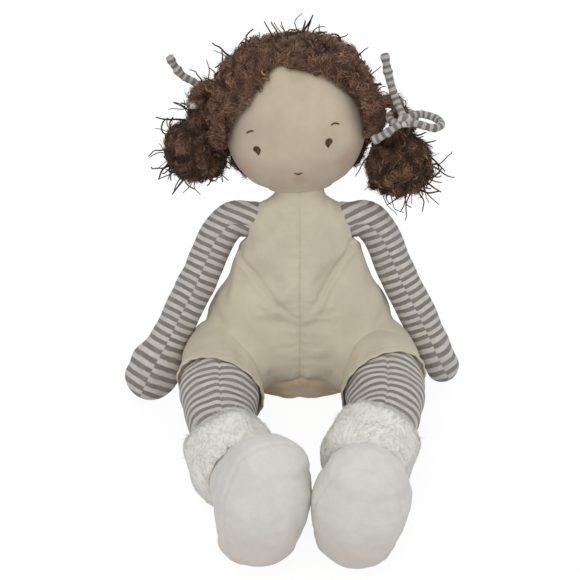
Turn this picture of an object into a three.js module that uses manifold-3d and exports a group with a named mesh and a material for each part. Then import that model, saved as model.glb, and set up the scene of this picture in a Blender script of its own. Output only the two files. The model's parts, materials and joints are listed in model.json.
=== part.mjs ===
// A stuffed rag doll, seated. Millimetres, +Z up, the floor at Z 0.
// The doll faces -Y. Left and right are the doll's own, so its left side is +X.
import * as THREE from 'three';
import { mergeVertices } from 'three/addons/utils/BufferGeometryUtils.js';
import { ConvexGeometry } from 'three/addons/geometries/ConvexGeometry.js';
import Module from 'manifold-3d';

const wasm = await Module();
wasm.setup();

// Cloth and clearances
const CLOTH = 1.2;
const GAP = 0.3;
const FLOOR_CUT = 0.5;

// Torso, seat to neck, along a spine that starts upright and leans back
const SEAT_SETBACK = 4;
const SEAT_WIDTH = 116;
const SEAT_DEPTH = 80;
const HIP_WIDTH = 134;
const HIP_DEPTH = 86;
const HIP_RISE = 24;
const WAIST_WIDTH = 94;
const WAIST_DEPTH = 66;
const WAIST_RISE = 48;
const CHEST_WIDTH = 81;
const CHEST_DEPTH = 49;
const CHEST_RISE = 23;
const SHOULDER_WIDTH = 66;
const SHOULDER_DEPTH = 37;
const SHOULDER_RISE = 22;
const NECK_WIDTH = 33;
const NECK_RISE = 19;
const NECK_SETBACK = 46;
const NECK_BALL = 17.5;
const SEAT_SEAM = 18;
const PELLET_FILL = 32;

// Arms
const SHOULDER_SPAN = 68;
const SHOULDER_DROP = 27;
const ARM_WIDTH = 24;
const ARM_DEPTH = 24;
const ARMHOLE_EASE = 2;
const LEFT_ARM_REACH = [67, -46, -96];
const RIGHT_ARM_REACH = [69, -62, -91.5];

// Legs and the short legs of the romper
const HIP_SPAN = 110;
const HIP_FORWARD = 12;
const HIP_HEIGHT = 29;
const HIP_BALL = 42;
const ROMPER_LEG_WIDTH = 56;
const ROMPER_LEG_LENGTH = 41;
const HEM_TUCK = 18;
const HEM_SLANT = 22;
const LEG_LENGTH = 98;
const ANKLE_WIDTH = 37;
const LEFT_TOE_IN = 0.5;
const RIGHT_TOE_IN = 4;
const LEFT_ANKLE_BEND = 10;
const RIGHT_ANKLE_BEND = 5;
const HIP_LIFT = 30;
const HIP_FALL = 85;

// Boots and their fur cuffs
const BOOT_LENGTH = 81;
const BOOT_WIDTH = 55;
const BOOT_DEPTH = 54;
const BOOT_FORWARD = 52;
const BOOT_RISE = 2;
const BOOT_FLARE = 5;
const SOLE_DEPTH = 12;
const CUFF_WIDTH = 55;
const CUFF_LENGTH = 39;
const CUFF_OVERLAP = 12;
const ANKLE_SWING = 12;

// Head and hair
const HEAD_WIDTH = 92;
const HEAD_DEPTH = 77;
const HEAD_HEIGHT = 100;
const CHIN_DROP = 8;
const HEAD_LEAN = 20;
const HEAD_ROLL = 5;
const NOD_SWING = 14;
const HAIR_THICKNESS = 9;
const HAIR_SIDE = 14;
const HAIR_NAPE = 6;
const HAIR_CROWN = 4;
const BUN_WIDTH = 44;
const BUN_HANG = 30;
const BUN_SWING = 20;

// Hair ties
const TIE_CORD = 5;
const TIE_RING = 8;
const TIE_KNOT = 9;

// Facets round and along each form
const TORSO_SIDES = 18;
const HEAD_SIDES = 16;
const LIMB_SIDES = 12;
const BOOT_SIDES = 12;
const CAP_STEPS = 3;
const REACH = 400;

const CREAM = new THREE.MeshStandardMaterial({ color: 0xded6bd, roughness: 0.9, metalness: 0 });
const LINEN = new THREE.MeshStandardMaterial({ color: 0xdccbb4, roughness: 0.9, metalness: 0 });
const STRIPED = new THREE.MeshStandardMaterial({ color: 0xb3adaa, roughness: 0.9, metalness: 0 });
const HAIR = new THREE.MeshStandardMaterial({ color: 0x5a4131, roughness: 0.95, metalness: 0 });
const FUR = new THREE.MeshStandardMaterial({ color: 0xeae7d9, roughness: 0.95, metalness: 0 });
const VELOUR = new THREE.MeshStandardMaterial({ color: 0xeeece8, roughness: 0.9, metalness: 0 });
const FILLING = new THREE.MeshStandardMaterial({ color: 0xf4f2ee, roughness: 1, metalness: 0 });
const PELLETS = new THREE.MeshStandardMaterial({ color: 0xd9dbdc, roughness: 0.7, metalness: 0 });

const radians = THREE.MathUtils.degToRad;
const vec = (x, y, z) => new THREE.Vector3(x, y, z);
const X_AXIS = vec(1, 0, 0);
const Y_AXIS = vec(0, 1, 0);
const Z_AXIS = vec(0, 0, 1);

// Solids for joining and cutting
function solidOf(geometry) {
  const bare = new THREE.BufferGeometry();
  bare.setAttribute('position', geometry.getAttribute('position'));
  if (geometry.index) bare.setIndex(geometry.index);
  const merged = mergeVertices(bare, 1e-4);
  const source = merged.index.array;
  const kept = [];
  for (let i = 0; i < source.length; i += 3) {
    const [a, b, c] = [source[i], source[i + 1], source[i + 2]];
    if (a !== b && b !== c && a !== c) kept.push(a, b, c);
  }
  const vertProperties = new Float32Array(merged.getAttribute('position').array);
  return new wasm.Manifold(new wasm.Mesh({ numProp: 3, vertProperties, triVerts: new Uint32Array(kept) }));
}

function geometryOf(solid) {
  const mesh = solid.getMesh();
  const geometry = new THREE.BufferGeometry();
  geometry.setAttribute('position', new THREE.BufferAttribute(new Float32Array(mesh.vertProperties), 3));
  geometry.setIndex(new THREE.BufferAttribute(new Uint32Array(mesh.triVerts), 1));
  const faceted = geometry.toNonIndexed();
  faceted.computeVertexNormals();
  return faceted;
}

function piece(name, solid, material) {
  const mesh = new THREE.Mesh(geometryOf(solid), material);
  mesh.name = name;
  return mesh;
}

function ball(centre, radius, sides = 16) {
  const geometry = new THREE.SphereGeometry(radius, sides, Math.ceil(sides / 2));
  return solidOf(geometry.translate(centre.x, centre.y, centre.z));
}

function box(low, high) {
  const size = high.clone().sub(low);
  const middle = low.clone().add(high).multiplyScalar(0.5);
  return solidOf(new THREE.BoxGeometry(size.x, size.y, size.z).translate(middle.x, middle.y, middle.z));
}

// An outline in the Y-Z plane carried along X
function prism(outline, from, to) {
  const shape = new THREE.Shape(outline.map(([y, z]) => new THREE.Vector2(y, z)));
  const geometry = new THREE.ExtrudeGeometry(shape, { depth: to - from, bevelEnabled: false });
  const turn = new THREE.Matrix4().makeBasis(Y_AXIS, Z_AXIS, X_AXIS);
  return solidOf(geometry.applyMatrix4(turn).translate(from, 0, 0));
}

// A point and direction at a distance along a spine, carried straight on past its ends
function along(spine, distance) {
  const length = spine.getLength();
  const t = THREE.MathUtils.clamp(distance / length, 0, 1);
  const tangent = spine.getTangentAt(t);
  const point = spine.getPointAt(t).addScaledVector(tangent, distance - t * length);
  return { point, tangent };
}

// Sections [distance, half width, half depth] smoothed along a spine, with a rounded cap at each end.
// An inset draws the whole surface in, so that a filling lies evenly inside its cover.
function stuffedForm(spine, sections, { across, startCap, endCap, rings, sides, inset = 0 }) {
  const body = new THREE.CatmullRomCurve3(sections.map((s) => vec(...s)), false, 'centripetal').getPoints(rings);
  const shrunk = body.map((p) => [p.x, p.y - inset, p.z - inset]);
  const profile = [];
  const [first, last] = [shrunk[0], shrunk[shrunk.length - 1]];
  const cap = (end, reach, step) => {
    const angle = (step / CAP_STEPS) * (Math.PI / 2);
    return [end[0] + reach * Math.cos(angle), end[1] * Math.sin(angle), end[2] * Math.sin(angle)];
  };
  for (let i = 1; i < CAP_STEPS; i++) profile.push(cap(first, inset - startCap, i));
  profile.push(...shrunk);
  for (let i = CAP_STEPS - 1; i > 0; i--) profile.push(cap(last, endCap - inset, i));
  const low = along(spine, first[0] + inset - startCap).point;
  const high = along(spine, last[0] + endCap - inset).point;
  const points = [...low.toArray()];
  for (const [distance, width, depth] of profile) {
    const { point, tangent } = along(spine, distance);
    const side = across.clone().addScaledVector(tangent, -across.dot(tangent)).normalize();
    const front = tangent.clone().cross(side);
    for (let k = 0; k < sides; k++) {
      const turn = (k / sides) * 2 * Math.PI;
      const corner = point.clone().addScaledVector(side, width * Math.cos(turn));
      points.push(...corner.addScaledVector(front, depth * Math.sin(turn)).toArray());
    }
  }
  points.push(...high.toArray());
  const index = [];
  const at = (ring, k) => 1 + ring * sides + (k % sides);
  const top = points.length / 3 - 1;
  for (let k = 0; k < sides; k++) {
    index.push(0, at(0, k + 1), at(0, k));
    for (let r = 0; r < profile.length - 1; r++) {
      index.push(at(r, k), at(r, k + 1), at(r + 1, k), at(r, k + 1), at(r + 1, k + 1), at(r + 1, k));
    }
    index.push(top, at(profile.length - 1, k), at(profile.length - 1, k + 1));
  }
  const geometry = new THREE.BufferGeometry();
  geometry.setAttribute('position', new THREE.BufferAttribute(new Float32Array(points), 3));
  geometry.setIndex(index);
  return solidOf(geometry);
}

// A round cord swept along a smooth path
function cord(route, width) {
  const path = new THREE.CatmullRomCurve3(route, false, 'centripetal');
  const ring = [];
  for (let k = 0; k < 8; k++) {
    ring.push(new THREE.Vector2((width / 2) * Math.cos((k * Math.PI) / 4), (width / 2) * Math.sin((k * Math.PI) / 4)));
  }
  const steps = Math.max(4, Math.round(path.getLength() / width) + 1);
  return solidOf(new THREE.ExtrudeGeometry(new THREE.Shape(ring), { steps, extrudePath: path, bevelEnabled: false }));
}

function moved(solid, matrix) {
  const geometry = geometryOf(solid);
  geometry.applyMatrix4(matrix);
  return solidOf(geometry);
}

const belowFloor = box(vec(-REACH, -REACH, -REACH), vec(REACH, REACH, 0));

// Torso
const hipLine = HIP_RISE;
const waistLine = hipLine + WAIST_RISE;
const chestLine = waistLine + CHEST_RISE;
const shoulderLine = chestLine + SHOULDER_RISE;
const neckLine = shoulderLine + NECK_RISE;
const backSpine = new THREE.QuadraticBezierCurve3(
  vec(0, SEAT_SETBACK, 0),
  vec(0, SEAT_SETBACK, neckLine * 0.36),
  vec(0, NECK_SETBACK, neckLine * 0.93),
);
const neckPivot = along(backSpine, neckLine).point;
const torsoSections = [
  [HIP_RISE * 0.25, SEAT_WIDTH / 2, SEAT_DEPTH / 2],
  [hipLine, HIP_WIDTH / 2, HIP_DEPTH / 2],
  [hipLine + WAIST_RISE * 0.5, (HIP_WIDTH + WAIST_WIDTH) * 0.262, (HIP_DEPTH + WAIST_DEPTH) * 0.25],
  [waistLine, WAIST_WIDTH / 2, WAIST_DEPTH / 2],
  [chestLine, CHEST_WIDTH / 2, CHEST_DEPTH / 2],
  [shoulderLine - SHOULDER_RISE * 0.2, SHOULDER_WIDTH / 2 + 3, SHOULDER_DEPTH / 2 + 1],
  [shoulderLine + NECK_RISE * 0.15, SHOULDER_WIDTH * 0.42, SHOULDER_DEPTH * 0.47],
  [shoulderLine + NECK_RISE * 0.48, NECK_WIDTH / 2, NECK_WIDTH / 2],
  [neckLine, NECK_BALL, NECK_BALL],
];
const torsoForm = (inset, sides) => stuffedForm(backSpine, torsoSections, {
  across: X_AXIS, startCap: HIP_RISE * 0.42, endCap: NECK_BALL, rings: 12, sides, inset,
});

// The arm turns about a line across the body, and the torso has a flat round seat for it
const shoulderSeat = along(backSpine, neckLine - SHOULDER_DROP).point;
const armRoot = Math.max(ARM_WIDTH, ARM_DEPTH) / 2;
function armhole(side, inset) {
  const face = SHOULDER_SPAN / 2 - GAP - inset;
  const radius = armRoot + ARMHOLE_EASE + inset;
  const round = new THREE.CylinderGeometry(radius, radius, REACH, 14).rotateZ(Math.PI / 2);
  return solidOf(round.translate(side * (face + REACH / 2), shoulderSeat.y, shoulderSeat.z));
}

// The room that a leg sweeps from lifted to hanging straight down
const hipOf = (side) => vec((side * HIP_SPAN) / 2, -HIP_FORWARD, HIP_HEIGHT);
const toeIn = (side) => radians(side > 0 ? LEFT_TOE_IN : RIGHT_TOE_IN);
function legRoom(side, inset) {
  const hip = hipOf(side);
  const points = [];
  const round = new THREE.SphereGeometry(1.032, 16, 10).getAttribute('position');
  const spread = (centre, width) => {
    for (let i = 0; i < round.count; i++) {
      const spot = new THREE.Vector3().fromBufferAttribute(round, i);
      points.push(spot.multiplyScalar(width / 2 + GAP + inset).add(centre));
    }
  };
  spread(hip, HIP_BALL);
  for (const turn of [-HIP_LIFT - 6, 0, HIP_FALL / 2, HIP_FALL]) {
    const away = vec(-side * Math.sin(toeIn(side)), -Math.cos(toeIn(side)), 0);
    away.multiplyScalar(ROMPER_LEG_LENGTH).applyAxisAngle(X_AXIS, radians(turn));
    spread(hip.clone().add(away), ROMPER_LEG_WIDTH);
    spread(hip.clone().addScaledVector(away, 2), ROMPER_LEG_WIDTH);
  }
  return solidOf(new ConvexGeometry(points));
}

function torsoCut(inset, sides = TORSO_SIDES) {
  let solid = torsoForm(inset, sides).subtract(box(vec(-REACH, -REACH, -REACH), vec(REACH, REACH, inset)));
  for (const side of [-1, 1]) {
    solid = solid.subtract(armhole(side, inset)).subtract(legRoom(side, inset));
  }
  return solid;
}

const sideSeam = [];
for (let i = 0; i <= 6; i++) {
  const { point } = along(backSpine, SEAT_SEAM + ((neckLine + NECK_BALL * 2 - SEAT_SEAM) * i) / 6);
  sideSeam.push([point.y, point.z]);
}
const seamTop = sideSeam[sideSeam.length - 1][1];
const seatLine = SEAT_SEAM + GAP;
const frontOutline = [
  ...sideSeam.map(([y, z]) => [y - GAP / 2, z]),
  [-REACH, seamTop],
  [-REACH, sideSeam[0][1]],
];
const backOutline = [
  ...sideSeam.map(([y, z]) => [y + GAP / 2, z]),
  [REACH, seamTop],
  [REACH, sideSeam[0][1]],
];
const aboveSeat = box(vec(-REACH, -REACH, seatLine), vec(REACH, REACH, REACH));
const belowSeat = box(vec(-REACH, -REACH, -REACH), vec(REACH, REACH, SEAT_SEAM));

function buildTorso() {
  const group = new THREE.Group();
  const cover = torsoCut(0).subtract(torsoCut(CLOTH));
  const upper = cover.intersect(aboveSeat);
  const filling = torsoCut(CLOTH + GAP, TORSO_SIDES / 2);
  const pellets = filling.intersect(box(vec(-REACH, -REACH, 0), vec(REACH, REACH, PELLET_FILL)));
  const fibre = filling.intersect(box(vec(-REACH, -REACH, PELLET_FILL + GAP), vec(REACH, REACH, REACH)));
  group.add(
    piece('torso_front_left', upper.intersect(prism(frontOutline, GAP / 2, REACH)), CREAM),
    piece('torso_front_right', upper.intersect(prism(frontOutline, -REACH, -GAP / 2)), CREAM),
    piece('torso_back', upper.intersect(prism(backOutline, -REACH, REACH)), CREAM),
    piece('seat_gusset', cover.intersect(belowSeat), CREAM),
    piece('torso_stuffing', fibre, FILLING),
    piece('pellet_bag', pellets, PELLETS),
  );
  return group;
}

// Arms, each a sock of striped jersey closed at the mitten and filled with fibre
const ARM_COURSE = [
  [0.15, 0, -0.005], [0.29, 0.06, 0.075], [0.41, 0.18, 0.21],
  [0.53, 0.34, 0.36], [0.68, 0.54, 0.54], [0.87, 0.82, 0.81],
];

function buildArm(name, side, reach, handAcross, handDeep) {
  const group = new THREE.Group();
  group.position.set((side * SHOULDER_SPAN) / 2, shoulderSeat.y, shoulderSeat.z);
  const end = vec(side * reach[0], reach[1], reach[2]);
  const course = ARM_COURSE.map(([x, y, z]) => vec(end.x * x, end.y * y, end.z * z));
  const spine = new THREE.CatmullRomCurve3([vec(-side * armRoot, 0, 0), vec(0, 0, 0), ...course, end], false);
  const length = spine.getLength();
  const sections = [
    [armRoot * 0.5, ARM_WIDTH / 2, ARM_DEPTH / 2],
    [length * 0.3, ARM_WIDTH * 0.51, ARM_DEPTH * 0.52],
    [length * 0.6, ARM_WIDTH * 0.53, ARM_DEPTH * 0.52],
    [length * 0.78, ARM_WIDTH * 0.51, ARM_DEPTH * 0.52],
    [length * 0.9, handAcross, handDeep],
    [length * 0.97, handAcross * 0.97, handDeep * 0.97],
  ];
  const options = { across: Y_AXIS, startCap: armRoot * 0.4, endCap: handDeep * 0.9, rings: 10 };
  const form = (inset, sides = LIMB_SIDES) => stuffedForm(spine, sections, { ...options, sides, inset });
  const reachOut = side > 0 ? [vec(0, -REACH, -REACH), vec(REACH, REACH, REACH)]
    : [vec(-REACH, -REACH, -REACH), vec(0, REACH, REACH)];
  const outside = box(...reachOut);
  const floor = -shoulderSeat.z;
  const lifted = (rise) => box(vec(-REACH, -REACH, floor + rise), vec(REACH, REACH, REACH));
  const hollow = form(CLOTH).intersect(lifted(CLOTH));
  const cover = form(0).intersect(lifted(0)).subtract(hollow).intersect(outside);
  const filling = form(CLOTH + GAP, LIMB_SIDES / 2).intersect(lifted(CLOTH + GAP)).intersect(outside);
  group.add(
    piece(`arm_${name}_cover`, cover, STRIPED),
    piece(`arm_${name}_stuffing`, filling, FILLING),
  );
  return group;
}

// Legs: the romper's short leg, the striped leg in it and the filling.
// The leg runs along -Y from the hip and bends in a little above the ankle.
const thighSpine = new THREE.LineCurve3(vec(0, 0, 0), vec(0, -LEG_LENGTH, 0));
const legSpine = (bend) => new THREE.CatmullRomCurve3([
  vec(0, 0, 0), vec(0, -LEG_LENGTH * 0.3, 0), vec(0, -LEG_LENGTH * 0.6, 0),
  vec(bend * 0.25, -LEG_LENGTH * 0.82, 0), vec(bend, -LEG_LENGTH, 0),
]);
const romperRadius = ROMPER_LEG_WIDTH / 2;
const legRoot = HIP_BALL / 2 - CLOTH - GAP;
const legTop = romperRadius - CLOTH - GAP - 0.4;
const ankleRadius = ANKLE_WIDTH / 2;

function romperLegForm(inset) {
  const sections = [
    [0, HIP_BALL / 2, HIP_BALL / 2],
    [ROMPER_LEG_LENGTH * 0.5, (HIP_BALL + ROMPER_LEG_WIDTH) * 0.255, (HIP_BALL + ROMPER_LEG_WIDTH) * 0.255],
    [ROMPER_LEG_LENGTH, romperRadius, romperRadius],
    [ROMPER_LEG_LENGTH + HEM_TUCK, romperRadius, romperRadius],
  ];
  return stuffedForm(thighSpine, sections, {
    across: X_AXIS, startCap: HIP_BALL / 2, endCap: HEM_TUCK, rings: 6, sides: LIMB_SIDES, inset,
  });
}

function legForm(spine, inset, sides = LIMB_SIDES) {
  const length = spine.getLength();
  const sections = [
    [0, legRoot, legRoot],
    [ROMPER_LEG_LENGTH - HEM_TUCK, (legRoot + legTop) / 2, (legRoot + legTop) / 2],
    [ROMPER_LEG_LENGTH, legTop, legTop],
    [length * 0.72, (legTop * 0.4 + ankleRadius * 0.6), (legTop * 0.4 + ankleRadius * 0.6)],
    [length * 0.88, ankleRadius + 0.6, ankleRadius + 0.6],
    [length, ankleRadius, ankleRadius],
  ];
  return stuffedForm(spine, sections, {
    across: X_AXIS, startCap: legRoot, endCap: ankleRadius, rings: 8, sides, inset,
  });
}

// Boots: a rounded foot whose sole faces forward when the doll sits, on a short shaft from the ankle
function footForm(inset, sides = BOOT_SIDES) {
  const half = BOOT_LENGTH / 2;
  const spine = new THREE.LineCurve3(vec(0, -BOOT_FORWARD, BOOT_RISE - half), vec(0, -BOOT_FORWARD, BOOT_RISE + half));
  const sections = [
    [BOOT_LENGTH * 0.2, BOOT_WIDTH * 0.42, BOOT_DEPTH * 0.43],
    [BOOT_LENGTH * 0.42, BOOT_WIDTH * 0.49, BOOT_DEPTH * 0.5],
    [BOOT_LENGTH * 0.62, BOOT_WIDTH * 0.5, BOOT_DEPTH * 0.47],
    [BOOT_LENGTH * 0.8, BOOT_WIDTH * 0.42, BOOT_DEPTH * 0.36],
  ];
  return stuffedForm(spine, sections, {
    across: X_AXIS, startCap: BOOT_LENGTH * 0.2, endCap: BOOT_LENGTH * 0.2, rings: 6, sides, inset,
  });
}

const shaftTop = ankleRadius * 0.5;
function shaftForm(inset, sides = LIMB_SIDES) {
  const radius = ankleRadius + 1.2;
  const spine = new THREE.LineCurve3(vec(0, 0, 0), vec(0, -BOOT_FORWARD, 0));
  const sections = [
    [0, radius, radius],
    [BOOT_FORWARD * 0.3, radius, radius],
    [BOOT_FORWARD * 0.55, radius + BOOT_FLARE * 0.7, radius + BOOT_FLARE * 0.7],
    [BOOT_FORWARD * 0.75, radius + BOOT_FLARE, radius + BOOT_FLARE],
  ];
  return stuffedForm(spine, sections, {
    across: X_AXIS, startCap: radius, endCap: BOOT_FORWARD * 0.2, rings: 5, sides, inset,
  });
}

const behindShaft = box(vec(-REACH, -shaftTop, -REACH), vec(REACH, REACH, REACH));
const bootForm = (inset, share = 1) => shaftForm(inset, LIMB_SIDES * share)
  .subtract(behindShaft)
  .add(footForm(inset, BOOT_SIDES * share));

// The ankle height that sets the heel on the floor, for a boot turned by a matrix
function heelReach(turn) {
  const position = geometryOf(footForm(0)).applyMatrix4(turn).getAttribute('position');
  let lowest = 0;
  for (let i = 0; i < position.count; i++) lowest = Math.min(lowest, position.getZ(i));
  return -lowest;
}

function buildLeg(name, side, { yaw, roll, lean }) {
  const group = new THREE.Group();
  const hip = hipOf(side);
  const spine = legSpine(-side * (side > 0 ? LEFT_ANKLE_BEND : RIGHT_ANKLE_BEND));
  const bootTurn = new THREE.Matrix4().makeRotationFromEuler(
    new THREE.Euler(radians(-lean), radians(side * roll), radians(-side * yaw), 'ZXY'));
  const ankleHeight = heelReach(bootTurn) - FLOOR_CUT;
  const slope = Math.asin((hip.z - ankleHeight) / LEG_LENGTH);
  group.position.copy(hip);
  group.rotation.set(slope, 0, -side * toeIn(side), 'ZXY');
  const hem = new THREE.Matrix4().makeTranslation(0, -ROMPER_LEG_LENGTH, 0)
    .multiply(new THREE.Matrix4().makeRotationZ(radians(side * HEM_SLANT)));
  const romperEnd = moved(box(vec(-REACH, 0, -REACH), vec(REACH, REACH, REACH)), hem);
  const coverStart = box(vec(-REACH, HEM_TUCK - ROMPER_LEG_LENGTH, -REACH), vec(REACH, REACH, REACH));
  const romper = romperLegForm(0).subtract(romperLegForm(CLOTH)).intersect(romperEnd);
  const cover = legForm(spine, 0).subtract(legForm(spine, CLOTH)).subtract(coverStart);
  group.add(
    piece(`romper_leg_${name}`, romper, CREAM),
    piece(`leg_${name}_cover`, cover, STRIPED),
    piece(`leg_${name}_stuffing`, legForm(spine, CLOTH + GAP, LIMB_SIDES / 2), FILLING),
  );
  const ankle = new THREE.Group();
  ankle.position.copy(spine.getPoint(1));
  ankle.rotation.z = Math.asin(spine.getTangent(1).x);
  group.add(ankle);
  group.updateMatrixWorld(true);
  const inAnkle = ankle.matrixWorld.clone().invert();
  const atAnkle = new THREE.Matrix4().makeTranslation(vec(0, 0, 0).applyMatrix4(ankle.matrixWorld));
  const placed = inAnkle.clone().multiply(atAnkle).multiply(bootTurn);
  const floor = moved(belowFloor, inAnkle);
  const legEnd = ball(vec(0, 0, 0), (ankleRadius + GAP) * 1.02, LIMB_SIDES * 2);
  const outer = moved(bootForm(0), placed).subtract(floor);
  const hollow = moved(bootForm(CLOTH).add(shaftForm(CLOTH)), placed);
  const shell = outer.subtract(hollow).subtract(legEnd);
  const soleFace = BOOT_FORWARD + BOOT_DEPTH / 2 - SOLE_DEPTH;
  const soleSide = moved(box(vec(-REACH, -REACH, -REACH), vec(REACH, -soleFace - GAP, REACH)), placed);
  const upperSide = moved(box(vec(-REACH, -soleFace, -REACH), vec(REACH, REACH, REACH)), placed);
  const filling = moved(bootForm(CLOTH + GAP, 0.5), placed).subtract(legEnd);
  ankle.add(
    piece(`boot_${name}_upper`, shell.intersect(upperSide), VELOUR),
    piece(`boot_${name}_sole`, shell.intersect(soleSide), VELOUR),
    piece(`boot_${name}_stuffing`, filling, FILLING),
    piece(`cuff_${name}`, cuffForm().subtract(legEnd).subtract(moved(bootForm(-GAP), placed)), FUR),
  );
  return group;
}

// The fur cuff: a fat ring round the ankle, its bore flared for the leg to swing in
function cuffForm() {
  const mouth = CUFF_OVERLAP;
  const foot = CUFF_OVERLAP - CUFF_LENGTH;
  const wide = CUFF_WIDTH / 2;
  const bore = ankleRadius + GAP * 4;
  const flare = bore + 2.2 + mouth * Math.tan(radians(ANKLE_SWING));
  const outline = [
    [0, foot], [wide * 0.8, foot], [wide * 0.95, foot + CUFF_LENGTH * 0.18], [wide, foot + CUFF_LENGTH * 0.45],
    [wide * 0.98, mouth - CUFF_LENGTH * 0.2], [wide * 0.89, mouth - 1], [flare, mouth], [bore, 0], [0, 0],
  ];
  const round = outline.map(([r, h]) => new THREE.Vector2(r, h));
  return solidOf(new THREE.LatheGeometry(round, LIMB_SIDES + 2));
}

// Head, built about the top of the neck
const headTurn = new THREE.Matrix4().makeRotationFromEuler(
  new THREE.Euler(radians(-HEAD_LEAN), radians(-HEAD_ROLL), 0, 'XYZ'));
const headSpine = new THREE.LineCurve3(vec(0, 0, -CHIN_DROP), vec(0, 0, HEAD_HEIGHT - CHIN_DROP));
const headSections = [
  [HEAD_HEIGHT * 0.04, HEAD_WIDTH * 0.235, HEAD_DEPTH * 0.25],
  [HEAD_HEIGHT * 0.12, HEAD_WIDTH * 0.37, HEAD_DEPTH * 0.37],
  [HEAD_HEIGHT * 0.26, HEAD_WIDTH * 0.47, HEAD_DEPTH * 0.465],
  [HEAD_HEIGHT * 0.42, HEAD_WIDTH * 0.5, HEAD_DEPTH * 0.5],
  [HEAD_HEIGHT * 0.58, HEAD_WIDTH * 0.48, HEAD_DEPTH * 0.49],
  [HEAD_HEIGHT * 0.75, HEAD_WIDTH * 0.39, HEAD_DEPTH * 0.41],
];
const headForm = (inset, sides = HEAD_SIDES) => stuffedForm(headSpine, headSections, {
  across: X_AXIS, startCap: HEAD_HEIGHT * 0.04, endCap: HEAD_HEIGHT * 0.25, rings: 9, sides, inset,
});
const hairWidth = (rise) => (rise < HEAD_HEIGHT * 0.3 ? HAIR_NAPE : HAIR_SIDE);
const hairSections = headSections.map(([d, w, h]) => [d, w + hairWidth(d), h + HAIR_THICKNESS]);
const hairForm = () => stuffedForm(headSpine, hairSections, {
  across: X_AXIS, startCap: HAIR_THICKNESS, endCap: HEAD_HEIGHT * 0.25 + HAIR_CROWN, rings: 9, sides: HEAD_SIDES,
});

// The room for the neck's rounded top and for the neck below it as the head nods
function neckRoom(inset) {
  const radius = NECK_BALL + GAP + inset;
  const low = CHIN_DROP + 16;
  const spread = NECK_BALL + inset + 6 + low * Math.tan(radians(NOD_SWING));
  const flare = new THREE.CylinderGeometry(radius * 0.99, spread, low, 16).rotateX(Math.PI / 2);
  return ball(vec(0, 0, 0), radius * 1.03, 16).add(solidOf(flare.translate(0, 0, -low / 2)));
}

// The face opening of the hair: a curtain line that peaks to one side of the middle
function faceOpening() {
  const half = HEAD_WIDTH / 2;
  const up = (share) => HEAD_HEIGHT * share - CHIN_DROP;
  const shape = new THREE.Shape();
  shape.moveTo(-half * 1.6, up(-0.3));
  shape.lineTo(-half * 1.6, up(0.28));
  shape.lineTo(-half * 0.97, up(0.36));
  shape.lineTo(-half * 0.86, up(0.52));
  shape.lineTo(-half * 0.16, up(0.87));
  shape.lineTo(half * 0.5, up(0.76));
  shape.lineTo(half * 0.86, up(0.6));
  shape.lineTo(half * 0.97, up(0.36));
  shape.lineTo(half * 1.6, up(0.28));
  shape.lineTo(half * 1.6, up(-0.3));
  const depth = HEAD_DEPTH;
  const geometry = new THREE.ExtrudeGeometry(shape, { depth, bevelEnabled: false });
  return solidOf(geometry.rotateX(Math.PI / 2).translate(0, HEAD_DEPTH * 0.02, 0));
}

// Buns hang from the hair ties. Positions are from the top of the neck, upright.
const TIE_LEFT = vec(HEAD_WIDTH * 0.717, HEAD_DEPTH * 0.013, HEAD_HEIGHT * 0.43);
const TIE_RIGHT = vec(-HEAD_WIDTH * 0.745, HEAD_DEPTH * 0.18, HEAD_HEIGHT * 0.465);

function bunForm(tie, inset) {
  const radius = BUN_WIDTH / 2 - inset;
  const centre = tie.clone().add(vec(0, 0, -BUN_HANG));
  const spine = new THREE.LineCurve3(centre.clone().add(vec(0, 0, -radius)), centre.clone().add(vec(0, 0, radius)));
  const sections = [
    [radius * 0.7, radius * 0.95, radius * 0.95],
    [radius, radius, radius],
    [radius * 1.4, radius * 0.9, radius * 0.9],
  ];
  return stuffedForm(spine, sections, {
    across: X_AXIS, startCap: radius * 0.7, endCap: radius * 0.6, rings: 4, sides: LIMB_SIDES, inset: 0,
  });
}

const bunNeck = TIE_RING - TIE_CORD / 2 - GAP;
function bunSolid(tie) {
  const low = tie.clone().add(vec(0, 0, -BUN_HANG * 0.6));
  const sections = [[0, bunNeck, bunNeck], [BUN_HANG * 0.6, bunNeck, bunNeck]];
  const neck = stuffedForm(new THREE.LineCurve3(low, tie), sections, {
    across: X_AXIS, startCap: 1, endCap: bunNeck, rings: 2, sides: 12,
  });
  return bunForm(tie, 0).add(neck);
}

const wrapCentre = (tie) => tie.clone().add(vec(0, 0, bunNeck * 0.5));
function wrapRoom(tie) {
  const ring = new THREE.TorusGeometry(TIE_RING, TIE_CORD / 2 + GAP, 8, 16);
  return solidOf(ring.translate(...wrapCentre(tie).toArray()));
}

function bunRoom(tie) {
  let room = null;
  for (const turn of [-BUN_SWING, -BUN_SWING / 2, 0, BUN_SWING / 2, BUN_SWING]) {
    const swing = new THREE.Matrix4().makeTranslation(tie)
      .multiply(new THREE.Matrix4().makeRotationX(radians(turn)))
      .multiply(new THREE.Matrix4().makeTranslation(tie.clone().negate()));
    const swung = moved(bunForm(tie, -GAP * 4), swing);
    room = room ? room.add(swung) : swung;
  }
  return room;
}

// The lock of hair that leads from the cap through the tie to the bun
function lock(tie) {
  const inward = -Math.sign(tie.x);
  const top = tie.clone().add(vec(0, 0, bunNeck + GAP));
  const spine = new THREE.QuadraticBezierCurve3(
    top.clone().add(vec(inward * 24, 5, 8)), top.clone().add(vec(inward * 1, 0, 10)), top);
  const sections = [[0, bunNeck, bunNeck], [spine.getLength() - 0.5, bunNeck * 0.98, bunNeck * 0.98]];
  return stuffedForm(spine, sections, {
    across: Y_AXIS, startCap: 2, endCap: 0.5, rings: 6, sides: 12,
  });
}

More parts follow.
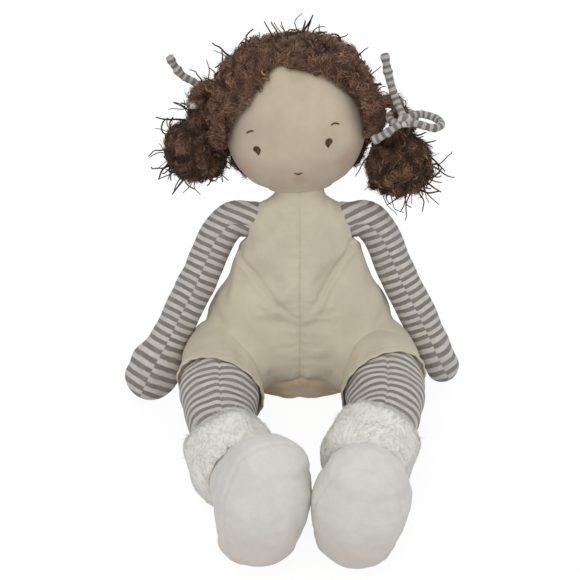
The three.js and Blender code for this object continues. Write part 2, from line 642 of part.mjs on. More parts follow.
function buildHead() {
  const group = new THREE.Group();
  group.position.copy(neckPivot);
  const skull = new THREE.Group();
  skull.applyMatrix4(headTurn);
  group.add(skull);
  const upright = headTurn.clone().invert();
  const cover = headForm(0).subtract(neckRoom(0)).subtract(headForm(CLOTH).subtract(neckRoom(CLOTH)));
  const front = box(vec(-REACH, -REACH, -REACH), vec(REACH, -GAP / 2, REACH));
  const back = box(vec(-REACH, GAP / 2, -REACH), vec(REACH, REACH, REACH));
  const nape = box(vec(-REACH, -REACH, HEAD_HEIGHT * 0.1 - CHIN_DROP), vec(REACH, REACH, REACH));
  let hair = hairForm().intersect(nape).subtract(faceOpening());
  for (const band of [LEFT_TIE, RIGHT_TIE]) {
    hair = hair.subtract(moved(bunRoom(band.tie), upright)).add(moved(lock(band.tie), upright));
    hair = hair.subtract(moved(tieRoom(band), upright));
  }
  hair = hair.subtract(headForm(-GAP)).subtract(neckRoom(GAP));
  skull.add(
    piece('face_panel', cover.intersect(front), LINEN),
    piece('head_back', cover.intersect(back), LINEN),
    piece('head_stuffing', headForm(CLOTH + GAP, HEAD_SIDES / 2).subtract(neckRoom(CLOTH + GAP)), FILLING),
    piece('hair_cap', hair, HAIR),
  );
  group.add(
    piece('hair_bun_left', bunSolid(TIE_LEFT), HAIR),
    piece('hair_bun_right', bunSolid(TIE_RIGHT), HAIR),
    ...buildTie('left', LEFT_TIE),
    ...buildTie('right', RIGHT_TIE),
  );
  return group;
}

// A hair tie: a wrap round the lock, the knot on it, and the loop and tails from the knot.
// The ends are courses from the middle of the knot, the first leg of each set clear of the knot.
const LEFT_ENDS = {
  tail_up: [vec(-5, 11, 8), vec(-10, 17, 22), vec(-13, 20, 36)],
  tail_down: [vec(-8, -2, -5), vec(-14, -3, -9.5), vec(-20, -3, -13)],
  loop: [vec(9, -6, 0.5), vec(18, -7, -1.5), vec(23, -1, -2.5), vec(21, 6.5, -2.5), vec(12, 9, -0.5), vec(3.2, 3.9, 0.5)],
};
const RIGHT_ENDS = {
  tail_up: [vec(-5.5, 1, 4.5), vec(-12, 2, 8), vec(-17, 2, 15), vec(-20, 2, 22)],
};

const LEFT_TIE = { tie: TIE_LEFT, lean: vec(0, -0.68, 0.73), ends: LEFT_ENDS };
const RIGHT_TIE = { tie: TIE_RIGHT, lean: vec(0.25, 0.85, 0.45), ends: RIGHT_ENDS };

function knotCentre(tie, lean) {
  const rim = wrapCentre(tie).add(vec(lean.x, lean.y, 0).setLength(TIE_RING));
  return rim.add(lean.clone().setLength((TIE_CORD + TIE_KNOT) / 2 + GAP));
}

function tieRoute(knot, course) {
  const start = course[0].clone().setLength(TIE_KNOT / 2 + GAP);
  return [start, ...course].map((p) => p.clone().add(knot));
}

// The room in the hair for the ends that lie on it
function tieRoom({ tie, lean, ends }) {
  const knot = knotCentre(tie, lean);
  return Object.values(ends).reduce(
    (room, course) => room.add(cord(tieRoute(knot, course), TIE_CORD + GAP * 3)),
    ball(knot, TIE_KNOT / 2 + GAP, 12).add(wrapRoom(tie)),
  );
}

function buildTie(name, { tie, lean, ends }) {
  const wrap = new THREE.TorusGeometry(TIE_RING, TIE_CORD / 2, 8, 16);
  const knot = knotCentre(tie, lean);
  const room = ball(knot, TIE_KNOT / 2 + GAP, 12);
  const pieces = [
    piece(`tie_${name}_wrap`, solidOf(wrap.translate(...wrapCentre(tie).toArray())), STRIPED),
    piece(`tie_${name}_knot`, ball(knot, TIE_KNOT / 2, 12), STRIPED),
  ];
  for (const [end, course] of Object.entries(ends)) {
    const length = cord(tieRoute(knot, course), TIE_CORD).subtract(room);
    pieces.push(piece(`tie_${name}_${end}`, length, STRIPED));
  }
  return pieces;
}

const doll = new THREE.Group();
doll.name = 'rag_doll';
doll.add(
  buildTorso(),
  buildArm('left', 1, LEFT_ARM_REACH, ARM_DEPTH * 0.56, ARM_WIDTH * 0.5),
  buildArm('right', -1, RIGHT_ARM_REACH, ARM_DEPTH * 0.52, ARM_WIDTH * 0.75),
  buildLeg('left', 1, { yaw: 11, roll: 5, lean: 2 }),
  buildLeg('right', -1, { yaw: 23, roll: -13, lean: 10 }),
  buildHead(),
);

export default doll;
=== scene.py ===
import json
import math
from collections import namedtuple

import bpy
import numpy as np
from mathutils import Matrix, Vector
from mathutils.bvhtree import BVHTree


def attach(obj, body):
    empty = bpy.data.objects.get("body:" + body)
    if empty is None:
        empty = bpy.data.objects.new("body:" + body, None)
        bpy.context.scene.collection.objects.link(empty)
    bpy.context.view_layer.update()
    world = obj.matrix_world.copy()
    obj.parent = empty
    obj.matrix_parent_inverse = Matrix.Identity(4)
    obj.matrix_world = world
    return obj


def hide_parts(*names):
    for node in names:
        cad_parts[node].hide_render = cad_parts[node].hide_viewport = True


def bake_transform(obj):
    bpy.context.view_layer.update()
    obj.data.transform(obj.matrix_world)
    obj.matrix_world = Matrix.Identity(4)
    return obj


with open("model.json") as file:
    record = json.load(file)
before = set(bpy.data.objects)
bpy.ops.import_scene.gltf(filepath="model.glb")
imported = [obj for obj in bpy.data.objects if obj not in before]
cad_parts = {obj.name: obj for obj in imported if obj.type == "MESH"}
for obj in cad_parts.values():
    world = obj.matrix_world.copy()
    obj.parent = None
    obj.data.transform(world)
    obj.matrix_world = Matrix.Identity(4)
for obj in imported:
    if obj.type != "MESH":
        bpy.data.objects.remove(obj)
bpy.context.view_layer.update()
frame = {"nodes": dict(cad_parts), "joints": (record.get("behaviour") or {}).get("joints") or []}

# A stuffed rag doll, seated. Lengths below are in millimetres and become metres when a mesh is made.
MM = 0.001
NODES = frame["nodes"]
rng = np.random.default_rng(11)
# The doll's own left is +X. No cloth goes lower than just above the floor.
SIDES = {"left": 1, "right": -1}
LOWEST = 0.05

# Colours, 0 to 255
CREAM = (202, 193, 172)
LINEN = (196, 181, 161)
BLUSH = (182, 144, 124)
STRIPE_PALE = (206, 200, 194)
STRIPE_GREY = (127, 121, 117)
HAIR_DARK = (60, 40, 29)
HAIR_LIGHT = (170, 130, 102)
FUR_PALE = (234, 232, 226)
FUR_DEEP = (229, 226, 214)
VELOUR_PALE = (219, 216, 211)
# Worn velour for the scuffs, and also the painted shade low on the boots.
VELOUR_WORN_AND_SHADE = (206, 195, 185)
# The gusset's colour is painted shade, darker and warmer than the cream.
GUSSET_PAINTED_SHADE = (198, 180, 150)
THREAD_BROWN = (84, 62, 48)
THREAD_PINK = (196, 172, 150)

# The joints' places, from the CAD
PIVOT = {j["name"]: np.array(j["pos_m"]) / MM for j in frame["joints"]}
NECK = PIVOT["neck_nod"]


def linear(colour, share=1.0):
    """A colour of 0 to 255, made darker or paler by a share, in the numbers that a shader takes."""
    c = np.array(colour) * share / 255
    return (*np.where(c <= 0.04045, c / 12.92, ((c + 0.055) / 1.055) ** 2.4), 1.0)


def unit(v):
    v = np.asarray(v, float)
    return v / np.maximum(np.linalg.norm(v, axis=-1, keepdims=True), 1e-12)


def hump(distance, width):
    """1 in the middle, fading smoothly over a width."""
    return np.exp(-((distance / width) ** 2))


def turned(*steps):
    """The axes after turns of (axis, degrees)."""
    axes = Matrix.Identity(3)
    for axis, degrees in steps:
        axes = axes @ Matrix.Rotation(math.radians(degrees), 3, axis)
    return np.array(axes)


# Forms


def catmull(points, steps):
    """Points on a smooth curve through the given ones, spread evenly over its spans."""
    p = np.asarray(points, float)
    p = np.vstack([2 * p[0] - p[1], p, 2 * p[-1] - p[-2]])
    spans = len(p) - 3
    out = []
    for s in np.linspace(0, spans, steps + 1):
        i = min(int(s), spans - 1)
        t = s - i
        a, b, c, d = p[i : i + 4]
        k0, k1, k2 = (max(np.linalg.norm(w), 1e-6) ** 0.5 for w in (b - a, c - b, d - c))
        m1 = ((b - a) / k0 - (c - a) / (k0 + k1) + (c - b) / k1) * k1
        m2 = ((c - b) / k1 - (d - b) / (k1 + k2) + (d - c) / k2) * k1
        bend = (t**3 - 2 * t**2 + t) * m1 + (t**3 - t**2) * m2
        out.append((2 * t**3 - 3 * t**2 + 1) * b + (3 * t**2 - 2 * t**3) * c + bend)
    return np.array(out)


class Path:
    """A line measured along its length, carried straight on past its ends."""

    def __init__(self, points):
        self.points = np.asarray(points, float)
        steps = np.linalg.norm(np.diff(self.points, axis=0), axis=1)
        self.marks = np.r_[0, np.cumsum(steps)]
        self.length = self.marks[-1]

    def place(self, t):
        return np.stack([np.interp(t, self.marks, self.points[:, i]) for i in range(3)], -1)

    def at(self, distance):
        distance = np.asarray(distance, float)
        t = np.clip(distance, 0, self.length)
        step = self.length * 0.01
        low, high = np.clip(t - step, 0, self.length), np.clip(t + step, 0, self.length)
        tangent = unit(self.place(high) - self.place(low))
        return self.place(t) + tangent * (distance - t)[:, None], tangent


def straight(a, b, steps):
    return Path(np.linspace(a, b, steps))


def turns_round(sides):
    return np.arange(sides) / sides * 2 * np.pi


def ring_faces(rings, sides, closed=False):
    """Faces that join each ring of points to the next, and the last to the first where it is closed."""
    faces = []
    for r in range(rings if closed else rings - 1):
        m = (r + 1) % rings
        for k in range(sides):
            n = (k + 1) % sides
            faces.append((r * sides + k, r * sides + n, m * sides + n, m * sides + k))
    return faces


# Points and faces, with the distance along and the turn round each point
Form = namedtuple("Form", "verts faces along turn")


def stuffed(path, sections, across, ends, grid):
    """Sections [distance, half width, half depth if not round] along a path, with rounded ends.

    The ends are how far each swells past its section. The grid counts rings, sides and rings of an end.
    """
    rings, sides, caps = grid
    body = catmull([s if len(s) == 3 else (*s, s[1]) for s in sections], rings)
    angle = np.linspace(0, np.pi / 2, caps + 1)[1:-1]
    first, last = body[0], body[-1]

    def cap(end, reach, a):
        return np.stack([end[0] + reach * np.cos(a), end[1] * np.sin(a), end[2] * np.sin(a)], -1)

    profile = np.vstack([cap(first, -ends[0], angle), body, cap(last, ends[1], angle[::-1])])
    place, tangent = path.at(profile[:, 0])
    across = np.asarray(across, float)
    side = unit(across - tangent * (tangent @ across)[:, None])
    front = np.cross(tangent, side)
    turn = turns_round(sides)
    ring = (
        side[:, None] * (profile[:, 1, None] * np.cos(turn))[..., None]
        + front[:, None] * (profile[:, 2, None] * np.sin(turn))[..., None]
    )
    tips = np.array([first[0] - ends[0], last[0] + ends[1]])
    verts = np.vstack([(place[:, None] + ring).reshape(-1, 3), path.at(tips)[0]])
    count = len(profile)
    low, high = count * sides, count * sides + 1
    faces = ring_faces(count, sides)
    for k in range(sides):
        n = (k + 1) % sides
        faces.append((low, n, k))
        faces.append((high, (count - 1) * sides + k, (count - 1) * sides + n))
    along = np.r_[np.repeat(profile[:, 0], sides), tips]
    return Form(verts, faces, along, np.r_[np.tile(turn, count), 0, 0])


def tubes(centres, radii, sides, ref=None):
    """Closed tubes round many lines at once: centres (lines, points, 3), radii (lines, points)."""
    centres = np.asarray(centres, float)
    lines, points = centres.shape[:2]
    tangent = unit(np.gradient(centres, axis=1))
    if ref is None:
        ref = np.cross(tangent[:, points // 2], unit(rng.normal(size=(lines, 3))))
    normal = unit(ref[:, None] - tangent * (tangent * ref[:, None]).sum(-1, keepdims=True))
    other = np.cross(tangent, normal)
    turn = turns_round(sides)
    ring = normal[:, :, None] * np.cos(turn)[:, None] + other[:, :, None] * np.sin(turn)[:, None]
    verts = centres[:, :, None] + ring * np.asarray(radii)[:, :, None, None]
    start = (np.arange(lines) * points * sides)[:, None, None]
    quads = (np.array(ring_faces(points, sides)) + start).reshape(-1, 4)
    back = np.arange(sides)[::-1]
    head = np.arange(sides) + (points - 1) * sides
    ends = (np.array([back, head]) + start).reshape(-1, sides)
    return verts.reshape(-1, 3), quads.tolist() + ends.tolist()


def toned(centres, radii, sides, tone=None, ref=None):
    """Tubes with a tone for each, seeded where none is given."""
    verts, faces = tubes(centres, radii, sides, ref)
    lines, points = np.shape(centres)[:2]
    if tone is None:
        tone = rng.uniform(0.2, 0.8, lines)
    return verts, faces, np.repeat(tone, points * sides)


def ring_tube(centres, radius, axis, sides):
    """A closed ring of tube round an axis."""
    tangent = unit(np.roll(centres, -1, 0) - np.roll(centres, 1, 0))
    out = unit(np.cross(tangent, np.broadcast_to(axis, tangent.shape)))
    up = np.cross(out, tangent)
    turn = turns_round(sides)
    ring = out[:, None] * np.cos(turn)[:, None] + up[:, None] * np.sin(turn)[:, None]
    verts = (centres[:, None] + radius * ring).reshape(-1, 3)
    return verts, ring_faces(len(centres), sides, closed=True)


def joined(parts):
    """The points and faces of several parts in one."""
    verts, faces, start = [], [], 0
    for part in parts:
        verts.append(part[0])
        faces += [[i + start for i in face] for face in part[1]]
        start += len(part[0])
    return np.vstack(verts), faces


def added(name, data):
    obj = bpy.data.objects.new(name, data)
    bpy.context.scene.collection.objects.link(obj)
    return obj


def set_values(obj, key, values):
    layer = obj.data.attributes.new(key, "FLOAT", "POINT")
    layer.data.foreach_set("value", np.asarray(values, np.float32))


def mesh_piece(name, verts, faces, material, **values):
    """A smooth mesh of one material, with values for each of its points."""
    mesh = bpy.data.meshes.new(name)
    mesh.from_pydata((np.asarray(verts) * MM).tolist(), [], faces)
    mesh.shade_smooth()
    mesh.materials.append(material)
    obj = added(name, mesh)
    for key, numbers in values.items():
        set_values(obj, key, numbers)
    return obj


def merged(name, parts, material):
    """One mesh of parts (points, faces, tones)."""
    return mesh_piece(name, *joined(parts), material, tone=np.concatenate([p[2] for p in parts]))


def vectors(source, key):
    out = np.zeros(len(source) * 3, np.float32)
    source.foreach_get(key, out)
    return out.reshape(-1, 3).astype(float)


def verts_of(obj):
    return vectors(obj.data.vertices, "co") / MM


def normals_of(obj):
    return vectors(obj.data.vertex_normals, "vector")


def set_verts(obj, verts):
    obj.data.vertices.foreach_set("co", (verts * MM).astype(np.float32).ravel())
    obj.data.update()


def above_floor(verts):
    verts[:, 2] = np.maximum(verts[:, 2], LOWEST)
    return verts


def settle(obj):
    """Applies the modifiers of a piece."""
    depsgraph = bpy.context.evaluated_depsgraph_get()
    mesh = bpy.data.meshes.new_from_object(obj.evaluated_get(depsgraph))
    obj.modifiers.clear()
    obj.vertex_groups.clear()
    old = obj.data
    obj.data = mesh
    bpy.data.meshes.remove(old)
    mesh.shade_smooth()


def mark(obj, name, chosen):
    obj.vertex_groups.new(name=name).add(np.nonzero(chosen)[0].tolist(), 1.0, "REPLACE")


def ease(obj, rounds, near=None):
    """Smooths a piece, or only some of its points."""
    change = obj.modifiers.new("ease", "SMOOTH")
    change.factor = 0.5
    change.iterations = rounds
    if near is not None:
        mark(obj, "near", near)
        change.vertex_group = "near"
    settle(obj)


def remesh(obj, voxel, rounds):
    change = obj.modifiers.new("remesh", "REMESH")
    change.mode = "VOXEL"
    change.voxel_size = voxel * MM
    settle(obj)
    ease(obj, rounds)


def subdivide(obj):
    change = obj.modifiers.new("fine", "SUBSURF")
    change.levels = 1
    change.render_levels = 1
    settle(obj)


def tree_of(obj):
    verts = [Vector(v) for v in verts_of(obj)]
    return BVHTree.FromPolygons(verts, [tuple(p.vertices) for p in obj.data.polygons])


def wrinkle(points, seed, size, count=24):
    """Smooth seeded noise at points, about -1 to 1, from waves of about one size."""
    draw = np.random.default_rng(seed)
    ways = unit(draw.normal(size=(count, 3))) * (2 * np.pi / size) * draw.uniform(0.6, 1.5, (count, 1))
    return np.sin(points @ ways.T + draw.uniform(0, 2 * np.pi, count)).sum(1) / math.sqrt(count / 2)


def drift(points, seed, size):
    """A smooth seeded direction at each point."""
    return np.stack([wrinkle(points, seed + k, size) for k in range(3)], 1)


def crease(points, line, width, depth):
    """How far points sink towards a creased line, fading at its ends."""
    line = Path(catmull(line, 40))
    marks = np.linspace(0, line.length, 60)
    gaps = np.linalg.norm(points[:, None] - line.place(marks)[None], axis=2)
    share = marks[gaps.argmin(1)] / line.length
    fade = np.clip(np.minimum(share, 1 - share) * 4, 0.0, 1)
    return depth * fade * hump(gaps.min(1), width)


# Materials


class Nodes:
    """A node tree with small helpers to fill it."""

    def __init__(self, tree):
        self.tree = tree

    def feed(self, socket, value):
        if isinstance(value, bpy.types.NodeSocket):
            self.tree.links.new(value, socket)
        else:
            socket.default_value = value

    def node(self, kind, inputs=None, **settings):
        made = self.tree.nodes.new(kind)
        for key, value in settings.items():
            setattr(made, key, value)
        for key, value in (inputs or {}).items():
            self.feed(made.inputs[key], value)
        return made

    def math(self, operation, a, b=0.0, c=0.0):
        return self.node("ShaderNodeMath", {0: a, 1: b, 2: c}, operation=operation).outputs[0]

    def seen(self):
        """1 for what the camera sees, straight, in a reflection or through something clear."""
        ray = self.node("ShaderNodeLightPath").outputs
        seen = self.math("MAXIMUM", ray["Is Camera Ray"], ray["Is Glossy Ray"])
        return self.math("MAXIMUM", seen, ray["Is Transmission Ray"])


class Shader(Nodes):
    """A material with small helpers for cloth."""

    def __init__(self, name, **sockets):
        self.material = bpy.data.materials.new(name)
        self.material.use_nodes = True
        super().__init__(self.material.node_tree)
        self.bsdf = self.tree.nodes["Principled BSDF"]
        for key, value in sockets.items():
            self.feed(self.bsdf.inputs[key.replace("_", " ")], value)
        self.place = self.node("ShaderNodeTexCoord").outputs["Object"]

    def noise(self, scale, detail=2.0, rough=0.5, place=None):
        inputs = {"Vector": place or self.place, "Scale": scale, "Detail": detail, "Roughness": rough}
        return self.node("ShaderNodeTexNoise", inputs).outputs["Fac"]

    def value(self, name):
        return self.node("ShaderNodeAttribute", attribute_name=name).outputs["Fac"]

    def ramp(self, factor, low, high):
        inputs = {"Value": factor, "From Min": low, "From Max": high}
        return self.node("ShaderNodeMapRange", inputs, interpolation_type="SMOOTHSTEP").outputs["Result"]

    def mix(self, factor, a, b):
        return self.node("ShaderNodeMix", {0: factor, 6: a, 7: b}, data_type="RGBA").outputs[2]

    def colour(self, socket):
        self.feed(self.bsdf.inputs["Base Color"], socket)

    def bump(self, *layers):
        """Layers of (height, depth in millimetres)."""
        normal = None
        for height, depth in layers:
            inputs = {"Height": height, "Distance": depth * MM, "Strength": 1.0}
            if normal is not None:
                inputs["Normal"] = normal
            normal = self.node("ShaderNodeBump", inputs).outputs["Normal"]
        self.feed(self.bsdf.inputs["Normal"], normal)

    def wave(self, place, turn):
        return self.math("SINE", self.math("MULTIPLY", place, turn))

    def weave(self, pitch):
        """Crossing threads of a plain weave, from the place on the object."""
        x, y, z = self.node("ShaderNodeSeparateXYZ", {0: self.place}).outputs
        turn = 2 * math.pi / (pitch * MM)
        across = self.wave(self.math("MULTIPLY_ADD", y, 0.6, x), turn)
        down = self.wave(self.math("MULTIPLY_ADD", y, 0.5, z), turn)
        return self.math("MULTIPLY", across, down)


CLOTH = {"Sheen_Roughness": 0.5, "Specular_IOR_Level": 0.2}


def cotton_material(name, colour, mottled):
    """Plain cloth with slubs in its threads: the shader, the colour and the slubs."""
    s = Shader(name, Roughness=0.92, Sheen_Weight=0.12, **CLOTH)
    pale, deep = linear(colour, 1 + mottled), linear(colour, 1 - mottled)
    cloth = s.mix(s.ramp(s.noise(42, 4, 0.6), 0.3, 0.7), deep, pale)
    threads = s.node("ShaderNodeMapping", {"Vector": s.place, "Scale": (900, 900, 60)}).outputs[0]
    slubs = s.noise(1.0, 1.0, place=threads)
    return s, s.mix(s.math("MULTIPLY", s.ramp(slubs, 0.6, 0.8), 0.35), cloth, deep), slubs


def cream_material():
    """The romper's cotton. The gusset below the seat's seam is painted a darker, warmer cream as painted
    shade, where it faces down.
    """
    s, colour, slubs = cotton_material("cream_cotton", CREAM, 0.025)
    s.colour(s.mix(s.value("shade"), colour, linear(GUSSET_PAINTED_SHADE)))
    s.bump((s.weave(0.75), 0.05), (slubs, 0.06), (s.noise(260, 3), 0.12))
    return s.material


def linen_material(blushes):
    """The linen of the head, with a soft blush round each (place, radius, strength)."""
    s, colour, slubs = cotton_material("face_linen", LINEN, 0.035)
    for place, radius, strength in blushes:
        inputs = {0: s.place, 1: tuple(head_spot(place) * MM)}
        away = s.node("ShaderNodeVectorMath", inputs, operation="DISTANCE").outputs["Value"]
        near = s.ramp(away, radius * MM, radius * 0.15 * MM)
        patchy = s.math("MULTIPLY_ADD", s.noise(300, 3), 0.5, 0.72)
        share = s.math("MULTIPLY", s.math("MULTIPLY", near, patchy), strength)
        colour = s.mix(share, colour, linear(BLUSH))
    s.colour(colour)
    s.bump((s.weave(0.55), 0.03), (slubs, 0.03), (s.noise(300, 3), 0.05))
    return s.material


KNIT_COURSE, KNIT_WALES = 0.8, 96


def jersey_material(name, pitch, split, shift):
    """Striped knit. Its stripes run round the limb and jump at the turn of the split, where edges meet."""
    s = Shader(name, Roughness=0.9, Sheen_Weight=0.15, **CLOTH)
    along, turn = s.value("along"), s.value("turn")
    past = s.math("GREATER_THAN", turn, split)
    sway = s.math("MULTIPLY_ADD", s.noise(55, 2), 2.2, -1.1)
    edge = s.math("MULTIPLY_ADD", s.noise(900, 2), 0.7, -0.35)
    place = s.math("ADD", s.math("MULTIPLY_ADD", past, shift, along), s.math("ADD", sway, edge))
    stripe = s.ramp(s.wave(place, 2 * math.pi / pitch), -0.3, 0.3)
    worn = s.ramp(s.noise(120, 3), 0.3, 0.75)
    pale = s.mix(worn, linear(STRIPE_PALE), linear(STRIPE_PALE, 0.93))
    grey = s.mix(worn, linear(STRIPE_GREY), linear(STRIPE_GREY, 1.12))
    s.colour(s.mix(stripe, grey, pale))
    stitch = s.math("MULTIPLY", s.wave(along, 2 * math.pi / KNIT_COURSE), s.wave(turn, KNIT_WALES))
    s.bump((stitch, 0.07), (s.noise(700, 2), 0.1), (stripe, 0.12))
    return s.material


def tone_material(name, dark, light, fine, depth, **sockets):
    """Yarn, fur or thread, each strand with its own tone."""
    s = Shader(name, Roughness=0.85, Specular_IOR_Level=0.25, **sockets)
    tone = s.math("ADD", s.value("tone"), s.math("MULTIPLY_ADD", s.noise(fine, 2), 0.5, -0.25))
    s.colour(s.mix(s.ramp(tone, 0.0, 1.0), dark, light))
    s.bump((s.noise(fine * 1.7, 2), depth))
    return s.material


def thread_material(name, colour, dark, light):
    return tone_material(name, linear(colour, dark), linear(colour, light), 1200, 0.08)


def velour_material():
    """A short nap, scuffed here and there, with painted shade that greys it low down."""
    s = Shader(
        "boot_velour", Roughness=0.95, Sheen_Weight=0.3, Sheen_Roughness=0.4, Specular_IOR_Level=0.15
    )
    nap = s.ramp(s.noise(70, 4, 0.65), 0.3, 0.72)
    colour = s.mix(nap, linear(VELOUR_PALE, 0.955), linear(VELOUR_PALE))
    scuffs = s.math("MULTIPLY", s.ramp(s.noise(28, 5, 0.7), 0.6, 0.8), 0.35)
    # Painted shade: the velour greys towards the floor, below 6 cm up.
    low = s.ramp(s.node("ShaderNodeSeparateXYZ", {0: s.place}).outputs["Z"], 0.06, 0.012)
    colour = s.mix(s.math("MULTIPLY", low, 0.7), colour, linear(VELOUR_WORN_AND_SHADE))
    s.colour(s.mix(scuffs, colour, linear(VELOUR_WORN_AND_SHADE)))
    s.bump((s.noise(1500, 3, 0.7), 0.2), (s.noise(240, 3), 0.3))
    return s.material


# Stage. The camera's focal length and picture are in pixels, and the lamps' places in metres.
FOCAL, PICTURE, SENSOR = 1125, 580, 36
CAMERA, TARGET = (-6.5, -591, 532), (-6.5, 0, 70)
LAMPS = [
    ("key", (-0.35, -0.75, 1.35), 1.1, 9.5),
    ("fill", (0.9, -0.5, 0.8), 1.0, 2.6),
    ("back", (0.1, 0.9, 0.9), 1.0, 2.4),
]
LAMP_TARGET = (0, 0, 0.08)
FLOOR_REACH, FLOOR_LEVEL = 4000, -0.4
WHITE = (1, 1, 1, 1)


def floor_material():
    """A pale floor that the camera sees as white but for the shadow."""
    s = Shader("floor", Roughness=0.9, Base_Color=(0.86, 0.86, 0.86, 1), Specular_IOR_Level=0.1)
    glow = s.node("ShaderNodeEmission", {"Color": WHITE, "Strength": 1.03}).outputs[0]
    inputs = {0: s.math("MULTIPLY", s.seen(), 0.9), 1: s.bsdf.outputs[0], 2: glow}
    both = s.node("ShaderNodeMixShader", inputs).outputs[0]
    s.feed(s.tree.nodes["Material Output"].inputs["Surface"], both)
    return s.material


def aim(obj, spot):
    obj.rotation_euler = (Vector(spot) - obj.location).to_track_quat("-Z", "Y").to_euler()


def make_stage():
    scene = bpy.context.scene
    scene.view_settings.view_transform = "Standard"
    data = bpy.data.cameras.new("camera")
    data.sensor_width = SENSOR
    data.lens = FOCAL / PICTURE * SENSOR
    scene.camera = added("camera", data)
    scene.camera.location = np.array(CAMERA) * MM
    aim(scene.camera, np.array(TARGET) * MM)

    scene.world = bpy.data.worlds.new("studio")
    scene.world.use_nodes = True
    sky = Nodes(scene.world.node_tree)
    level = sky.node("ShaderNodeMapRange", {"Value": sky.seen(), "To Min": 0.5, "To Max": 1.0})
    backdrop = sky.tree.nodes["Background"].inputs
    sky.feed(backdrop["Strength"], level.outputs[0])
    sky.feed(backdrop["Color"], WHITE)

    for name, place, size, power in LAMPS:
        lamp = bpy.data.lights.new(name, "AREA")
        lamp.size = size
        lamp.energy = power
        holder = added(name, lamp)
        holder.location = place
        aim(holder, LAMP_TARGET)

    corners = ((-1, -1), (1, -1), (1, 1), (-1, 1))
    corners = [(x * FLOOR_REACH, y * FLOOR_REACH, FLOOR_LEVEL) for x, y in corners]
    mesh_piece("floor", corners, [(0, 1, 2, 3)], floor_material())


make_stage()

CREAM_COTTON = cream_material()
ARM_SEAM = {side: math.pi - 0.22 * way for side, way in SIDES.items()}
ARM_JERSEY = {side: jersey_material(f"arm_{side}_jersey", 5.5, ARM_SEAM[side], 1.7) for side in SIDES}
LEG_JERSEY = jersey_material("leg_jersey", 4.9, math.pi / 2, 1.0)
TIE_JERSEY = jersey_material("tie_jersey", 4.4, 9.0, 0.0)
HAIR_SHEEN = {"Sheen_Weight": 0.05, "Sheen_Roughness": 0.6}
YARN = tone_material("hair_yarn", linear(HAIR_DARK), linear(HAIR_LIGHT), 700, 0.35, **HAIR_SHEEN)
FUR_SHEEN = {"Sheen_Weight": 0.3, "Sheen_Roughness": 0.5}
FUR = tone_material("cuff_fur", linear(FUR_DEEP), linear(FUR_PALE), 300, 0.05, **FUR_SHEEN)
VELOUR = velour_material()
BROWN_THREAD = thread_material("brown_thread", THREAD_BROWN, 0.75, 1.25)
PINK_THREAD = thread_material("seam_thread", THREAD_PINK, 0.9, 1.06)


def dress(obj, body, slot, *nodes, fill=None):
    """The piece stands for CAD nodes and moves with a body."""
    if body:
        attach(obj, body)
    if nodes:
        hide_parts(*nodes)
    return obj


# Hair ties: a jersey cord knotted round each lock. The courses are those of the part's source.
TIE_CORD, TIE_RING, TIE_KNOT, GAP = 5.0, 8.0, 9.0, 0.3
BUN_NECK = TIE_RING - TIE_CORD / 2 - GAP
CORD_SIDES, KNOT_SIDES = 14, 12
LEFT_LOOP = [(9, -6, 0.5), (18, -7, -1.5), (23, -1, -2.5), (21, 6.5, -2.5), (12, 9, -0.5), (3.2, 3.9, 0.5)]
TIES = {
    "left": {
        "lean": (0, -0.68, 0.73),
        "tight": 1.0,
        "ends": {
            "tail_up": [(-5, 11, 8), (-10, 17, 22), (-13, 20, 36)],
            "tail_down": [(-8, -2, -5), (-14, -3, -9.5), (-20, -3, -13)],
            "loop": LEFT_LOOP,
        },
    },
    "right": {
        "lean": (0.25, 0.85, 0.45),
        "tight": 0.4,
        "ends": {"tail_up": [(-5.5, 1, 4.5), (-12, 2, 8), (-17, 2, 15), (-20, 2, 22)]},
    },
}


def cord_tube(name, line, knots):
    """A rolled strip of jersey along a line, with a fat knot at some distances along it."""
    marks = np.linspace(0, line.length, max(24, int(line.length / 0.7)))
    centres = line.place(marks)
    radius = np.full(len(marks), TIE_CORD / 2)
    radius *= 1 + 0.05 * np.sin(marks * 1.9 + 0.6) + 0.04 * np.sin(marks * 0.83)
    for knot in knots:
        radius += 0.13 * TIE_CORD * hump(marks - knot, 2.2)
    verts, faces = tubes(centres[None], radius[None], CORD_SIDES)
    along = np.repeat(marks, CORD_SIDES)
    turn = np.tile(turns_round(CORD_SIDES), len(marks))
    # The rolled edge of the strip winds round the cord as a shallow groove.
    groove = 0.16 * np.clip(np.cos(turn - 0.5 - along * 0.08) - 0.75, 0, 1) / 0.25
    verts += (centres.repeat(CORD_SIDES, 0) - verts) * groove[:, None]
    return mesh_piece(name, verts, faces, TIE_JERSEY, along=along, turn=turn), centres


def wound_knot(name, centre, lean):
    """A knot: three crossing turns of the same cord drawn tight."""
    draw = np.random.default_rng(5)
    lean = unit(lean)
    thick = TIE_KNOT / 2 * 0.5
    loop = TIE_KNOT / 2 * 0.52
    t = np.linspace(0, 2 * np.pi, 29)[:-1]
    rings, along = [], []
    for i in range(3):
        axis = unit(lean * 0.35 + draw.normal(size=3))
        a = unit(np.cross(axis, lean + 0.1))
        b = np.cross(axis, a)
        circle = loop * (np.cos(t)[:, None] * a + np.sin(t)[:, None] * b)
        rings.append(ring_tube(centre + circle + axis * 0.6 * (i - 1), thick, axis, KNOT_SIDES))
        along.append(np.repeat(t * loop + i * 1.7, KNOT_SIDES))
    verts, faces = joined(rings)
    along = np.concatenate(along)
    return mesh_piece(name, verts, faces, TIE_JERSEY, along=along, turn=np.zeros(len(verts)))


